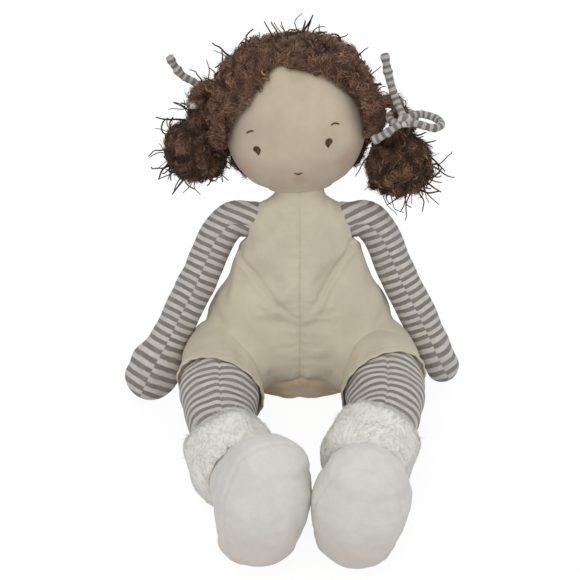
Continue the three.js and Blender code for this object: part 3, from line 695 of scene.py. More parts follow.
def make_tie(side, tie):
    lean = np.array(tie["lean"], float)
    wrap = PIVOT[f"bun_swing_{side}"] + (0, 0, BUN_NECK * 0.5)
    rim = wrap + unit([lean[0], lean[1], 0]) * TIE_RING
    knot = rim + unit(lean) * ((TIE_CORD + TIE_KNOT) / 2 + GAP)
    turns = np.linspace(0, 2 * np.pi, 49)[:-1]
    sway = 0.5 * np.sin(turns * 3 + 0.4)
    ring = TIE_RING * tie["tight"]
    centres = wrap + np.stack([ring * np.cos(turns), ring * np.sin(turns), sway], -1)
    verts, faces = ring_tube(centres, TIE_CORD / 2, np.array([0, 0, 1.0]), CORD_SIDES)
    marks = {"along": np.repeat(turns * ring, CORD_SIDES), "turn": np.zeros(len(verts))}
    band = mesh_piece(f"tie_{side}_band", verts, faces, TIE_JERSEY, **marks)
    dress(band, "head", "striped_jersey", f"tie_{side}_wrap")
    fist = wound_knot(f"tie_{side}_fist", knot, lean)
    dress(fist, "head", "striped_jersey", f"tie_{side}_knot")
    for end, course in tie["ends"].items():
        start = unit(course[0]) * (TIE_KNOT / 2 - 1.0)
        points = np.vstack([start, course]) + knot
        line = Path(catmull(points, 160))
        knots = () if end == "loop" else (line.length - 2.4, line.length - 11.5)
        obj, centres = cord_tube(f"tie_{side}_{end}_cord", line, knots)
        dress(obj, "head", "striped_jersey", f"tie_{side}_{end}")


for side in SIDES:
    make_tie(side, TIES[side])

# Head: a linen ball, wide at the cheeks
HEAD_TURN = turned(("X", -20), ("Y", -5))
HEAD_BACK = HEAD_TURN[:, 1]
HEAD_MIDDLE = (0, 0, 40)
CHIN_DROP, HEAD_HEIGHT, HEAD_WIDTH, HEAD_DEPTH = 8, 100, 92, 77
HEAD_SHARES = [(0.04, 0.235, 0.25), (0.12, 0.37, 0.37), (0.26, 0.47, 0.465)]
HEAD_SHARES += [(0.42, 0.5, 0.5), (0.58, 0.48, 0.49), (0.75, 0.39, 0.41)]
BLUSHES = [((-33.4, -17.6, 14), 16, 0.5), ((31.5, -21.6, 14.5), 15, 0.4), ((-0.5, -31, 4), 8, 0.5)]


def head_spot(point):
    """A point of the head's own frame, where the head is."""
    return (np.array([point], float) @ HEAD_TURN.T + NECK)[0]


def make_head():
    axis = straight((0, 0, -CHIN_DROP), (0, 0, HEAD_HEIGHT - CHIN_DROP), 60)
    sections = [(HEAD_HEIGHT * a, HEAD_WIDTH * b, HEAD_DEPTH * c) for a, b, c in HEAD_SHARES]
    ends = (HEAD_HEIGHT * 0.04, HEAD_HEIGHT * 0.25)
    form = stuffed(axis, sections, (1, 0, 0), ends, (56, 96, 14))
    verts = form.verts
    verts += unit(verts - HEAD_MIDDLE) * (0.35 * wrinkle(verts, 3, 34))[:, None]
    # The seam between face and back runs over the sides in the middle.
    verts -= unit(verts - HEAD_MIDDLE) * (0.8 * hump(verts[:, 1], 1.3))[:, None]
    verts = verts @ HEAD_TURN.T + NECK
    head = mesh_piece("head_cover", verts, form.faces, linen_material(BLUSHES))
    return dress(head, "head", "linen", "face_panel", "head_back", "head_stuffing", fill=0.9)


HEAD = make_head()
HEAD_TREE = tree_of(HEAD)

# Face: laid threads, at places across and up in the head's own frame
EYES = {"eye_right": (-25.1, 27.6, 1.0), "eye_left": (20.7, 28.9, -1.0)}
BROWS = {
    "brow_right": [(-30.7, 38.9), (-28.6, 40.0), (-26.0, 40.4)],
    "brow_left": [(22.9, 40.2), (25.0, 41.0), (28.0, 39.9)],
}
SMILE = [(-3.0, 11.2), (-1.6, 10.5), (0, 10.3), (1.3, 10.6), (2.5, 11.2)]
THREAD_POINTS, THREAD_SIDES = 9, 6


def on_face(x, z, lift):
    start = head_spot((x, -80, z))
    way = HEAD_TURN @ np.array([0, 1.0, 0])
    spot, normal = HEAD_TREE.ray_cast(Vector(start), Vector(way))[:2]
    return np.array(spot) + np.array(normal) * lift


def threads(name, lines, width):
    """Embroidery: each line of points (x, z) is one laid thread on the face."""
    taper = np.sin(np.linspace(0.35, np.pi - 0.35, THREAD_POINTS)) ** 0.5
    sets = []
    for line in lines:
        points = catmull([(x, z, 0) for x, z in line], THREAD_POINTS - 1)
        sets.append([on_face(x, z, width * 0.3) for x, z, _ in points])
    radii = np.tile(width / 2 * taper, (len(lines), 1))
    dress(merged(name, [toned(sets, radii, THREAD_SIDES)], BROWN_THREAD), "head", "linen")


def make_face():
    # Teardrop eyes, round above, their points below turned in towards the nose
    for name, (x, z, lean) in EYES.items():
        lines = []
        for i in range(9):
            t = (i - 4) / 4.4
            top = 2.2 * math.sqrt(1 - t * t)
            low = -3.1 * (1 - abs(t)) ** 0.6 - 0.4
            middle = (x + t * 2.1 + lean * 0.2, z)
            lines.append([(x + t * 2.2, z + 0.7 + top), middle, (x + t * 1.3 + lean * 0.8, z + 0.3 + low)])
        threads(name, lines, 0.78)
    for name, line in BROWS.items():
        threads(name, [line, [(a, b - 0.45) for a, b in line]], 0.68)
    threads("mouth", [SMILE, [(a, b - 0.4) for a, b in SMILE[1:4]]], 0.7)


make_face()

# Hair: a felted cap and two buns of brushed boucle yarn, with loose strands
HAIRLINE = [(-44.6, 28), (-39.6, 44), (-7.4, 79), (23, 68), (39.6, 52), (44.6, 28)]
HAIRLINE_REACH = 12
CORE_VOXEL = 2.0
FIBRE = {"lengths": (3.5, 7.5), "width": 0.36, "lift": 1.7, "spread": 0.14, "unruly": 0.5, "points": 4}
CURL_POINTS, CURL_SIDES, CURL_SIZE, CURL_WIDTH = 14, 4, 1.9, 0.8
STRAND_POINTS, STRAND_SIDES, STRAND_WIDTH, STRAND_BEND = 9, 4, 1.4, 1.9
CAP = {"fibres": 15400, "curls": 240, "strands": 130, "reach": (8, 17), "lump": 1.9, "tone": 0.54}
CAP_WILD = (0, 0.9, 1)
BUN = {"fibres": 8600, "curls": 100, "strands": 66, "reach": (10, 22), "lump": 2.2, "tone": 0.29}
BUN_SEEDS = {"left": 26, "right": 31}
# Above each bun a tuft hides the tie: its place, half width and half height, and how far the bun sags.
TUFTS = {"left": ((0, 1, -4), 8, 9, 7), "right": ((5, 1.5, 0.5), 8.5, 8, 6)}


def outer_spots(obj, count, keep, draw):
    """Points spread over the outside of a piece, with normals."""
    verts = verts_of(obj)
    obj.data.calc_loop_triangles()
    tri = np.array([t.vertices for t in obj.data.loop_triangles])
    a, b, c = verts[tri[:, 0]], verts[tri[:, 1]], verts[tri[:, 2]]
    cross = np.cross(b - a, c - a)
    normal = unit(cross)
    area = np.linalg.norm(cross, axis=1) * keep((a + b + c) / 3, normal)
    pick = draw.choice(len(tri), count, p=area / area.sum())
    u, v = draw.uniform(size=(2, count))
    flip = u + v > 1
    u[flip], v[flip] = 1 - u[flip], 1 - v[flip]
    spots = a[pick] + (b - a)[pick] * u[:, None] + (c - a)[pick] * v[:, None]
    return spots, normal[pick]


def tones(draw, middle, spread, count, lowest=0):
    return np.clip(draw.normal(middle, spread, count), lowest, 1)


def curls(spots, normal, draw):
    """Small coils of yarn lying every way on a surface."""
    count = len(spots)
    one = unit(np.cross(normal, unit(draw.normal(size=normal.shape))))
    two = np.cross(normal, one)
    axis = unit(one + normal * draw.uniform(-0.7, 0.7, (count, 1)))
    out = unit(np.cross(axis, two))
    up = np.cross(axis, out)
    radius = CURL_SIZE * draw.uniform(0.7, 1.25, (count, 1))
    t = np.linspace(0, 1, CURL_POINTS)[None]
    turn = draw.uniform(0, 2 * np.pi, (count, 1)) + t * 2 * np.pi * draw.uniform(0.8, 1.4, (count, 1))
    slide = (t - 0.5) * draw.uniform(1.2, 2.6, (count, 1)) * CURL_SIZE
    swell = radius * (1 + 0.25 * np.sin(t * 7 + draw.uniform(0, 6, (count, 1))))
    centres = (
        spots[:, None]
        + out[:, None] * (swell * np.cos(turn))[..., None]
        + up[:, None] * (swell * np.sin(turn))[..., None]
        + axis[:, None] * slide[..., None]
    )
    taper = 0.55 + 0.45 * np.sin(np.pi * (0.08 + 0.84 * t))
    width = CURL_WIDTH * draw.uniform(0.8, 1.2, (count, 1)) * taper
    return toned(centres, width, CURL_SIDES, tones(draw, 0.4, 0.14, count), axis)


def fibres(spots, normal, flow, draw, tone, lengths, width, lift, spread, unruly, points):
    """Fine fibres brushed along a flow, each rising a little from the surface."""
    count = len(spots)
    along = unit(flow - normal * (flow * normal).sum(1, keepdims=True))
    yaw = draw.normal(0, unruly, (count, 1))
    way = along * np.cos(yaw) + np.cross(normal, along) * np.sin(yaw)
    aside = np.cross(normal, way)
    length = draw.uniform(*lengths, (count, 1))
    t = np.linspace(0, 1, points)[None]
    bend = draw.normal(0, unruly * 0.6, (count, 1))
    rise = lift * draw.uniform(0.1, 1.4, (count, 1))
    rise = rise * np.sin(t * np.pi * draw.uniform(0.4, 1.0, (count, 1))) - 0.3
    centres = (
        spots[:, None]
        + way[:, None] * (length * (t - 0.3))[..., None]
        + aside[:, None] * (length * bend * t**2)[..., None]
        + normal[:, None] * rise[..., None]
    )
    radius = width / 2 * draw.uniform(0.7, 1.3, (count, 1)) * (1 - 0.6 * t)
    return toned(centres, radius, 3, tones(draw, tone, spread, count))


def strands(spots, way, draw, lengths):
    """Loose tapered strands that leave a surface and curve."""
    count = len(spots)
    length = draw.uniform(*lengths, (count, 1))
    side = unit(np.cross(way, unit(draw.normal(size=way.shape))))
    curl = draw.normal(0, STRAND_BEND, (count, 1))
    curl = np.where(np.abs(curl) < 0.3, 0.3, curl)
    t = np.linspace(0, 1, STRAND_POINTS)[None]
    wave = 0.1 * np.sin(t * draw.uniform(4, 9, (count, 1)) + draw.uniform(0, 6, (count, 1)))
    reach = (length * np.sin(curl * t) / curl)[..., None] * way[:, None]
    sweep = (length * ((1 - np.cos(curl * t)) / curl + wave * t))[..., None] * side[:, None]
    radius = STRAND_WIDTH / 2 * draw.uniform(0.5, 1.2, (count, 1)) * (1 - 0.45 * t)
    tone = tones(draw, 0.02, 0.12, count, -0.2)
    return toned(spots[:, None] + reach + sweep, radius, STRAND_SIDES, tone)


def core_of(node, sink, rounds, *tufts):
    """A softened copy of a CAD node, drawn in a little, to carry yarn or pile. Tufts join on to it."""
    source = NODES[node]
    faces = [tuple(f.vertices) for f in source.data.polygons]
    core = mesh_piece(f"{node}_core", *joined([(verts_of(source), faces), *tufts]), YARN)
    remesh(core, CORE_VOXEL, rounds)
    set_verts(core, verts_of(core) - normals_of(core) * sink)
    return core


def skin_of(core, tone):
    """The surface of a core in one tone, in place of the core itself."""
    verts = verts_of(core)
    faces = [list(p.vertices) for p in core.data.polygons]
    bpy.data.objects.remove(core)
    return verts, faces, np.full(len(verts), tone)


def thin_hairline(core):
    """The hair lies low along the face and swells away from it."""
    verts = verts_of(core)
    local = (verts - NECK) @ HEAD_TURN
    line = Path([(x, 0, z) for x, z in HAIRLINE])
    spots = line.place(np.linspace(0, line.length, 120))
    gap = np.linalg.norm(local[:, None, [0, 2]] - spots[None][..., [0, 2]], axis=2).min(1)
    share = np.clip(gap / HAIRLINE_REACH, 0, 1)
    scale = 0.45 + 0.55 * share**2 * (3 - 2 * share)
    for i in np.nonzero((local[:, 1] < 3) & (gap < HAIRLINE_REACH))[0]:
        hit = HEAD_TREE.ray_cast(Vector(verts[i]), Vector(HEAD_BACK), 20)[0]
        if hit is not None:
            spot = np.array(hit)
            verts[i] = spot + (verts[i] - spot) * scale[i]
    set_verts(core, verts)


def hang(core, tie, drop):
    """A bun sags below its tie, so that it is flatter on top."""
    verts = verts_of(core)
    below = tie - verts[:, 2]
    verts[:, 2] -= drop * np.clip((below + 2) / 6, 0, 1) * (1 - np.clip((below - 4) / 42, 0, 1))
    set_verts(core, verts)


def yarn_piece(node, body, core, middle, numbers, way_out, seed):
    """A lumpy felted core with brushed fibres, some coils of yarn and loose strands."""
    draw = np.random.default_rng(seed)
    on_head = body == "head"

    def outside(spots, normal):
        out = ((spots - middle) * normal).sum(1) > -2
        if on_head:
            away = np.array([HEAD_TREE.find_nearest(Vector(p))[3] for p in spots])
            out &= away > 1.2
        return out

    def wild(spots, normal):
        return outside(spots, normal) * np.clip(normal @ np.array(way_out) + 0.25, 0.03, 1)

    verts, normal = verts_of(core), normals_of(core)
    ridge = 1 - np.abs(np.clip(wrinkle(verts, seed, 30, 8), -1, 1))
    rise = numbers["lump"] * (0.45 - ridge**3 + 0.3 * wrinkle(verts, seed + 1, 9))
    set_verts(core, verts + normal * (rise * outside(verts, normal))[:, None])
    spots, normal = outer_spots(core, numbers["fibres"], outside, draw)
    flow = drift(spots, seed + 2, 20)
    if on_head:
        # The hair of the cap is brushed away from the face.
        local = (spots - NECK) @ HEAD_TURN
        flow = 0.5 * flow + unit((local - HEAD_MIDDLE) * (1, 0, 1)) @ HEAD_TURN.T + 0.3 * HEAD_BACK
    clumps = numbers["tone"] + 0.26 * wrinkle(spots, seed + 6, 10)
    # Half of the fibres are felted to the core, and half lie over it with the loose yarn.
    felt, loose = (
        [fibres(spots[k], normal[k], flow[k], draw, clumps[k], **FIBRE)]
        for k in np.array_split(np.arange(len(spots)), 2)
    )
    spots, normal = outer_spots(core, numbers["curls"], outside, draw)
    loose.append(curls(spots - normal * 0.5, normal, draw))
    spots, normal = outer_spots(core, numbers["strands"], wild, draw)
    way = unit(normal + draw.normal(0, 0.45, normal.shape))
    loose.append(strands(spots, way, draw, numbers["reach"]))
    felt.append(skin_of(core, 0.2))
    dress(merged(f"{node}_wisps", loose, YARN), body, "yarn_hair")
    return dress(merged(f"{node}_yarn", felt, YARN), body, "yarn_hair", node)


def make_cap():
    core = core_of("hair_cap", 1.2, 4)
    thin_hairline(core)
    yarn_piece("hair_cap", "head", core, head_spot(HEAD_MIDDLE), CAP, CAP_WILD, 21)


def make_bun(side, way):
    tie = PIVOT[f"bun_swing_{side}"]
    place, wide, high, drop = TUFTS[side]
    upright = straight(tie + place - (0, 0, high), tie + place + (0, 0, high), 20)
    sections = [(high * 0.6, wide * 0.95), (high * 1.4, wide)]
    tuft = stuffed(upright, sections, (1, 0, 0), (high * 0.6, high * 0.6), (8, 24, 6))
    core = core_of(f"hair_bun_{side}", 1.2, 4, tuft)
    hang(core, tie[2], drop)
    middle, wild = tie - (0, 0, 24), (0.55 * way, -0.2, -0.4)
    bun = yarn_piece(f"hair_bun_{side}", f"bun_{side}", core, middle, BUN, wild, BUN_SEEDS[side])


make_cap()
for side, way in SIDES.items():
    make_bun(side, way)

# Torso: the romper's body, stuffed, with hip domes that the short legs come out of
TORSO_HEIGHT = 136
SPINE_LOW, SPINE_BEND, SPINE_TOP = (0, 4, 0), (0, 4, TORSO_HEIGHT * 0.36), (0, 46, TORSO_HEIGHT * 0.93)
SPINE_SHARES = np.linspace(0, 1, 201)[:, None]
SPINE = Path(
    (1 - SPINE_SHARES) ** 2 * SPINE_LOW
    + 2 * SPINE_SHARES * (1 - SPINE_SHARES) * SPINE_BEND
    + SPINE_SHARES**2 * SPINE_TOP
)
HIPS = [(6, 58, 40), (24, 67, 43), (48, 61.6, 38.6), (60, 55.4, 36.2)]
CHEST = [(71, 47.2, 33.2), (95, 40.5, 24.5), (112.6, 36, 19.5), (119.9, 27.7, 17.4)]
COLLAR = [(126.1, 16.5, 16.5), (136, 17.5, 17.5)]
HIP_DOME = [(0, 22.5), (8, 23.9), (14, 24.6)]
# The cloth fills the corner between the belly and each thigh.
CROTCH_ROLL = [(50, -24, 46), (39, -33, 42), (31, -36, 32), (31, -36, 20), (37, -33, 12)]
ROLL_RADII = [(0.1, 6), (0.4, 9), (0.7, 9), (0.9, 7)]
# Creases across and up the front, with their width and depth
TORSO_FOLDS = [
    ([(-47, 92), (-34, 85), (-20, 75), (-2, 63)], 1.9, 2.7),
    ([(42, 104), (28, 90), (15, 76), (3, 64)], 1.9, 2.6),
    ([(-29, 76), (-19, 70), (-8, 68)], 1.8, 1.1),
    ([(32, 84), (23, 76), (15, 67)], 1.8, 1.0),
    ([(-62, 58), (-46, 48), (-34, 34)], 3.2, 1.3),
    ([(62, 60), (47, 49), (33, 34)], 3.2, 1.3),
    ([(-30, 116), (-22, 108), (-13, 103)], 2.4, 0.6),
    ([(30, 117), (21, 108), (13, 104)], 2.4, 0.6),
]
TORSO_NODES = ["torso_front_left", "torso_front_right", "torso_back", "seat_gusset"]
TORSO_NODES += ["torso_stuffing", "pellet_bag"]
SHOULDER = PIVOT["shoulder_left"]
ARM_SEAT, ARM_SEAT_AT = 15.5, 33.6
SEAM_LOW, SEAT_SEAM, GUSSET_TOP = 18, 18, 24.4
# How stuffed cloth swells
SWELL = {
    "quality": 5,
    "mass": 0.15,
    "tension_stiffness": 12,
    "compression_stiffness": 12,
    "shear_stiffness": 6,
    "bending_stiffness": 0.4,
    "use_pressure": True,
    "uniform_pressure_force": 3.0,
    "shrink_min": -0.04,
    "vertex_group_mass": "held",
}
SWELL_FRAMES, SWELL_REACH = 16, 4
# Each leg: how far the toes turn in and how far it bends in above the ankle
LEG_LENGTH = 98
LEGS = {"left": (0.5, 10), "right": (4, 5)}
LEG_COURSE = [(0, 0), (0, 0.3), (0, 0.6), (0.25, 0.82), (1, 1)]


def leg_frame(side):
    """The hip, the leg's own axes (across, back along the leg, up) and its line."""
    hip, ankle = PIVOT[f"hip_{side}"], PIVOT[f"ankle_{side}"]
    way, (toe_in, bend) = SIDES[side], LEGS[side]
    slope = math.degrees(math.asin((hip[2] - ankle[2]) / LEG_LENGTH))
    axes = turned(("Z", -way * toe_in), ("X", slope))
    line = [(-way * bend * a, -LEG_LENGTH * b, 0) for a, b in LEG_COURSE]
    return hip, axes, Path(catmull(hip + np.array(line) @ axes.T, 160))


def swell(obj, held):
    """Swells a closed piece as stuffed cloth, holding some points. The rest move only a little way."""
    rest = verts_of(obj)
    mark(obj, "held", held)
    change = obj.modifiers.new("cloth", "CLOTH")
    for key, value in SWELL.items():
        setattr(change.settings, key, value)
    change.settings.effector_weights.gravity = 0
    change.collision_settings.use_collision = False
    change.collision_settings.use_self_collision = False
    for f in range(1, SWELL_FRAMES + 1):
        bpy.context.scene.frame_set(f)
    settle(obj)
    bpy.context.scene.frame_set(1)
    moved = verts_of(obj) - rest
    size = np.linalg.norm(moved, axis=1, keepdims=True)
    set_verts(obj, rest + moved * np.minimum(1, SWELL_REACH / np.maximum(size, 1e-9)))


def torso_form():
    parts = [stuffed(SPINE, HIPS + CHEST + COLLAR, (1, 0, 0), (10, 17.5), (60, 96, 8))]
    for side, way in SIDES.items():
        hip, axes, _ = leg_frame(side)
        line = straight(hip, hip - axes[:, 1] * 40, 20)
        parts.append(stuffed(line, HIP_DOME, axes[:, 0], (22.5, 6), (10, 40, 8)))
        roll = Path(catmull(np.array(CROTCH_ROLL) * (way, 1, 1), 60))
        radii = [(roll.length * share, r) for share, r in ROLL_RADII]
        parts.append(stuffed(roll, radii, (0, -1, 0), (roll.length * 0.1, roll.length * 0.1), (20, 24, 6)))
    return joined(parts)


def torso_relief(verts):
    """How far seams and folds sink into the torso, and how much of the gusset's painted shade is at each
    point.
    """
    x, y, z = verts.T
    spine = np.interp(z, SPINE.points[:, 2], SPINE.points[:, 1])
    front = y < spine
    sink = 0.9 * hump(x, 1.1) * (z > SEAM_LOW)
    sink += 0.8 * hump(y - spine, 1.2) * (z > SEAM_LOW)
    # The seat's seam arches between the thighs in front, over a gusset with a lobe each side of the middle.
    aside = x - 0.6
    arch = np.where(front, GUSSET_TOP - np.where(aside < 0, -0.5 * aside, 0.3 * aside), SEAT_SEAM)
    sink += 1.3 * hump(z - arch, 1.1) * (np.abs(x) < 62)
    lobes = hump(np.abs(aside) - 11, 7) * front * (z < arch)
    sink -= 2.2 * lobes * np.clip((arch - z) / 5, 0, 1) * np.clip(z / 3, 0, 1)
    # Folds that run from the waist to the middle seam, and short pulls beside the armholes
    flat = np.stack([x, np.zeros(len(verts)), z], 1)
    for line, width, depth in TORSO_FOLDS:
        sink += crease(flat, [(a, 0, b) for a, b in line], width, depth) * front
        below = [(a, 0, b - width * 1.6) for a, b in line]
        sink -= crease(flat, below, width * 1.5, depth * 0.5) * front
    pucker = hump(np.abs(x) - 2.6, 2.4) * np.sin(z * 2 * np.pi / 5.2)
    sink += 0.16 * pucker * (z > 20)
    sink += 0.3 * wrinkle(verts, 8, 34) + 0.08 * wrinkle(verts, 9, 12)
    # Below the seat's seam in front, the gusset takes painted shade.
    return sink, np.clip((arch - z) / 1.2, 0, 1) * front


def make_torso():
    torso = mesh_piece("torso_cover", *torso_form(), CREAM_COTTON)
    remesh(torso, 2.6, 10)
    x, y, z = verts_of(torso).T
    ease(torso, 40, (np.abs(x) < 56) & (y < -16) & (z > 8) & (z < 62))
    verts = verts_of(torso)
    x, y, z = verts.T
    # The arms sit on flat round seats.
    ring = np.hypot(y - SHOULDER[1], z - SHOULDER[2])
    seat = np.clip((ARM_SEAT - ring) / 3, 0, 1)
    x -= np.sign(x) * (np.maximum(np.abs(x) - ARM_SEAT_AT, 0) * seat)
    set_verts(torso, above_floor(verts))
    held = (z < 2) | (ring < 15) & (np.abs(x) > 20) | (z > 120) | (np.abs(x) < 1.6)
    swell(torso, held)
    subdivide(torso)
    verts, normal = verts_of(torso), normals_of(torso)
    sink, shade = torso_relief(verts)
    set_verts(torso, above_floor(verts - normal * sink[:, None]))
    set_values(torso, "shade", shade)
    return dress(torso, "torso", "cream_cotton", *TORSO_NODES, fill=0.75)


TORSO = make_torso()
TORSO_TREE = tree_of(TORSO)
STITCH, STITCH_WIDTH, STITCH_STEP, STITCH_SIDES = 1.9, 0.4, 1.15, 5
STITCH_SHAPE = [(0.0, -0.25), (0.22, 0.15), (0.5, 0.2), (0.78, 0.15), (1.0, -0.25)]


def stitch_front():
    """A row of short stitches down the middle of the front."""
    hits = [TORSO_TREE.ray_cast(Vector((0, -200, z)), Vector((0, 1, 0)))[0] for z in np.linspace(20, 121, 60)]
    path = Path([np.array(hit) for hit in hits])
    count = int(path.length / (STITCH * STITCH_STEP))
    shares, rises = np.array(STITCH_SHAPE).T
    sets = []
    for i in range(count):
        line = []
        for p, rise in zip(path.place((i + shares * 0.87) * STITCH * STITCH_STEP), rises):
            spot, normal = TORSO_TREE.find_nearest(Vector(p))[:2]
            line.append(np.array(spot) + np.array(normal) * rise)
        sets.append(line)
    radii = np.full((count, len(shares)), STITCH_WIDTH / 2)
    dress(merged("front_seam", [toned(sets, radii, STITCH_SIDES)], PINK_THREAD), "torso", "cream_cotton")


stitch_front()


def sewn(form, line, seam, depth, width, lumps):
    """The points of a stuffed form with a seam sunk along one turn, and lumps."""
    out = form.verts - line.at(form.along)[0]
    away = np.angle(np.exp(1j * (form.turn - seam)))
    return form.verts - unit(out) * (depth * hump(away, width) - lumps)[:, None]


# Legs: the romper's short leg over a striped leg. The stocking is slim where the romper covers it, so that
# it stays inside when the thigh lifts, and its last radii are at shares of the leg's length.
ROMPER_LENGTH, HEM_SLANT = 41, 22
STOCKING = [(0, 14), (12, 15.6), (21, 19.5), (30, 24.2), (41, 26.1), (52, 25.3)]
STOCKING_END = [(0.72, 21.7), (0.88, 19.1), (1, 18.5)]
ROMPER = [(0, 21.2), (10, 23.3), (21, 25.3), (31, 27.0), (39, 28.2)]
ROMPER_HEM = [(41.2, 28.2), (41.9, 27.7), (41.4, 27.0), (38, 26.6)]


def make_stocking(side):
    axes, line = leg_frame(side)[1:]
    radii = STOCKING + [(line.length * share, r) for share, r in STOCKING_END]
    form = stuffed(line, radii, axes[:, 0], (14, 18.5), (70, 72, 6))
    verts = sewn(form, line, np.pi / 2, 0.9, 0.05, 0.35 * wrinkle(form.verts, 31, 22))
    marks = {"along": form.along, "turn": form.turn}
    leg = mesh_piece(f"leg_{side}_sock", verts, form.faces, LEG_JERSEY, **marks)
    dress(leg, f"leg_{side}", "striped_jersey", f"leg_{side}_cover", f"leg_{side}_stuffing", fill=0.8)


def make_romper_leg(side, way):
    hip, axes, _ = leg_frame(side)
    thigh = straight(hip, hip - axes[:, 1] * LEG_LENGTH, 60)
    cloth = stuffed(thigh, ROMPER + ROMPER_HEM, axes[:, 0], (21.2, -8), (60, 96, 8))
    out = cloth.verts - thigh.at(cloth.along)[0]
    share = np.clip(cloth.along / ROMPER_LENGTH, 0, 1)
    gather = np.sin(cloth.turn * 17 + 1.3 * np.sin(cloth.turn * 3)) * 0.35 * share**3
    puff = 0.5 * wrinkle(cloth.verts, 41, 24) * share * (1 - share) * 4
    fold = -0.45 * hump(cloth.along - ROMPER_LENGTH + 5.5, 0.9)
    verts = cloth.verts + unit(out) * (gather + puff + fold)[:, None]
    # The hem slants and is longer on the inner side of the thigh.
    slant = way * math.tan(math.radians(HEM_SLANT)) * (out @ axes[:, 0]) * share**2
    verts = above_floor(verts + np.outer(slant, axes[:, 1]))
    romper = mesh_piece(f"romper_leg_{side}_cloth", verts, cloth.faces, CREAM_COTTON)
    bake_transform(romper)
    dress(romper, None, "cream_cotton", f"romper_leg_{side}", fill=0.7)


for side, way in SIDES.items():
    make_stocking(side)
    make_romper_leg(side, way)

# Arms: striped socks closed at the mitten. Each has its reach from the shoulder, and the mitten's half
# width and half depth.
UPPER_ARM = [(0.15, 0, -0.005), (0.275, 0.06, 0.075), (0.38, 0.18, 0.21)]
LOWER_ARM = [(0.49, 0.34, 0.36), (0.64, 0.54, 0.54), (0.85, 0.82, 0.81)]
ARMS = {"left": ((67, -46, -96), 13.44, 12.0), "right": ((69, -62, -91.5), 12.48, 18.0)}
ARM_BEND, MITTEN, MITTEN_STRETCH = 0.33, 0.8, 1.25


def make_arm(side, way):
    reach, across, deep = ARMS[side]
    end = np.array(reach) * (way, 1, 1)
    course = [end * np.array(p) for p in UPPER_ARM + LOWER_ARM]
    line = np.vstack([(-way * 12, 0, 0), (0, 0, 0), *course, end]) + PIVOT[f"shoulder_{side}"]
    line = Path(catmull(line, 240))
    length = line.length
    sections = [
        (6, 12, 12),
        (length * 0.3, 12.24, 12.48),
        (length * 0.6, 12.72, 12.48),
        (length * 0.78, 12.24, 12.48),
        (length * 0.9, across, deep),
        (length * 0.97, across * 0.97, deep * 0.97),
    ]
    form = stuffed(line, sections, (0, 1, 0), (4.8, deep * 0.9), (90, 64, 10))
    lumps = 0.3 * wrinkle(form.verts, 51 + way, 20)
    verts = above_floor(sewn(form, line, ARM_SEAM[side], 0.8, 0.07, lumps))
    # The stripes lie square to the upper arm up to the shoulder and are stretched over the mitten.
    bend, cuff = length * ARM_BEND, length * MITTEN
    place, down = line.at([bend])
    along = np.where(form.along < bend, bend + (form.verts - place[0]) @ down[0], form.along)
    along = np.where(along > cuff, cuff + (along - cuff) / MITTEN_STRETCH, along)
    arm = mesh_piece(f"arm_{side}_sock", verts, form.faces, ARM_JERSEY[side], along=along, turn=form.turn)
    dress(arm, f"arm_{side}", "striped_jersey", f"arm_{side}_cover", f"arm_{side}_stuffing", fill=0.85)


for side, way in SIDES.items():
    make_arm(side, way)

# Boots of velour with a fur cuff. Each boot turns in, rolls and leans back by some degrees, and its sole's
# seam is at a level with a slope.
BOOT_TURN = {"left": (11, 5, 2), "right": (23, -13, 10)}
SOLE_LINE = {"left": (-64, 0.04), "right": (-60, 0.1)}
FOOT_AT = -52
FOOT = [(16.2, 23.1, 23.2), (34, 26.95, 27), (50.2, 27.5, 25.4), (64.8, 23.1, 19.4)]
SHAFT = [(9, 19.6), (15.6, 19.7), (28.6, 23.2), (39, 24.7)]
CUFF_SEEDS = {"left": 81, "right": 82}
PILE_COUNT, MOUTH_COUNT = 11200, 1500
PILE = {"lengths": (2.4, 5.0), "width": 0.28, "lift": 0.45, "spread": 0.08, "unruly": 0.3, "points": 3}
LONG_PILE = {"lengths": (4.5, 9.0), "width": 0.26, "lift": 1.4, "spread": 0.1, "unruly": 0.35, "points": 4}


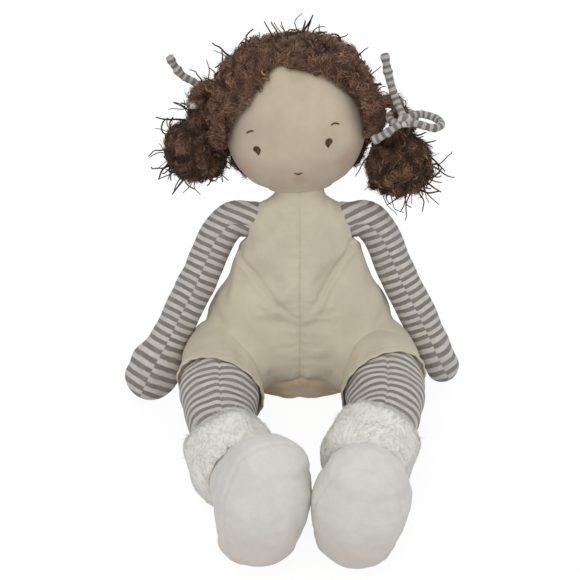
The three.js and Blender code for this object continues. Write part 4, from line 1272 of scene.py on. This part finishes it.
def make_boot(side, way):
    yaw, roll, lean = BOOT_TURN[side]
    axes = turned(("Z", -way * yaw), ("X", -lean), ("Y", way * roll))
    foot = straight((0, FOOT_AT, -38.5), (0, FOOT_AT, 42.5), 60)
    shaft = straight((0, 0, 0), (0, FOOT_AT, 0), 30)
    parts = [
        stuffed(foot, FOOT, (1, 0, 0), (16.2, 16.2), (30, 48, 8)),
        stuffed(shaft, SHAFT, (1, 0, 0), (0.5, 10.4), (16, 40, 4)),
    ]
    boot = mesh_piece(f"boot_{side}", *joined(parts), VELOUR)
    remesh(boot, 2.0, 6)
    subdivide(boot)
    verts, normal = verts_of(boot), normals_of(boot)
    level, slope = SOLE_LINE[side]
    edge = verts[:, 1] - level - slope * (verts[:, 2] - 2)
    sink = 0.7 * hump(edge, 0.9) - 0.25 * hump(edge - 2.4, 1.6) - 0.15 * hump(edge + 2.2, 1.6)
    turn = np.arctan2(verts[:, 2] - 2, verts[:, 0])
    sink += 0.12 * np.sin(turn * 34) * hump(edge, 4)
    sink += 0.35 * wrinkle(verts, 61, 30) + 0.15 * wrinkle(verts, 62, 11)
    # The boots are full on the inner side, where they lean on each other.
    inner = -way * (normal @ axes.T)[:, 0]
    sink -= 1.2 * np.clip(inner, 0, 1) ** 1.5
    verts = (verts - normal * sink[:, None]) @ axes.T + PIVOT[f"ankle_{side}"]
    set_verts(boot, above_floor(verts))
    names = [f"boot_{side}_{part}" for part in ("upper", "sole", "stuffing")]
    dress(boot, f"boot_{side}", "velour", *names, fill=0.85)


def make_cuff(side):
    seed = CUFF_SEEDS[side]
    draw = np.random.default_rng(seed)
    core = core_of(f"cuff_{side}", -0.9, 14)
    ankle, line = PIVOT[f"ankle_{side}"], leg_frame(side)[2]
    axis = line.at([line.length])[1][0]

    def outside(spots, normal):
        arm = spots - ankle
        radial = arm - np.outer(arm @ axis, axis)
        return (radial * normal).sum(1) > -6

    def mouth(spots, normal):
        return outside(spots, normal) * ((spots - ankle) @ axis < -7)

    verts, normal = verts_of(core), normals_of(core)
    swells = 0.6 * wrinkle(verts, seed, 26) * outside(verts, normal)
    set_verts(core, verts + normal * swells[:, None])
    spots, normal = outer_spots(core, PILE_COUNT, outside, draw)
    flow = 0.5 * drift(spots, 71, 30) - axis
    parts = [fibres(spots, normal, flow, draw, 0.75, **PILE)]
    # Longer pile at the mouth lies on the leg.
    spots, normal = outer_spots(core, MOUTH_COUNT, mouth, draw)
    flow = 0.5 * drift(spots, 74, 12) - 2 * axis
    parts.append(fibres(spots, normal, flow, draw, 0.85, **LONG_PILE))
    parts.append(skin_of(core, 0.72))
    cuff = merged(f"cuff_{side}_fur", parts, FUR)
    set_verts(cuff, above_floor(verts_of(cuff)))
    dress(cuff, f"boot_{side}", "fur", f"cuff_{side}")


for side, way in SIDES.items():
    make_boot(side, way)
    make_cuff(side)
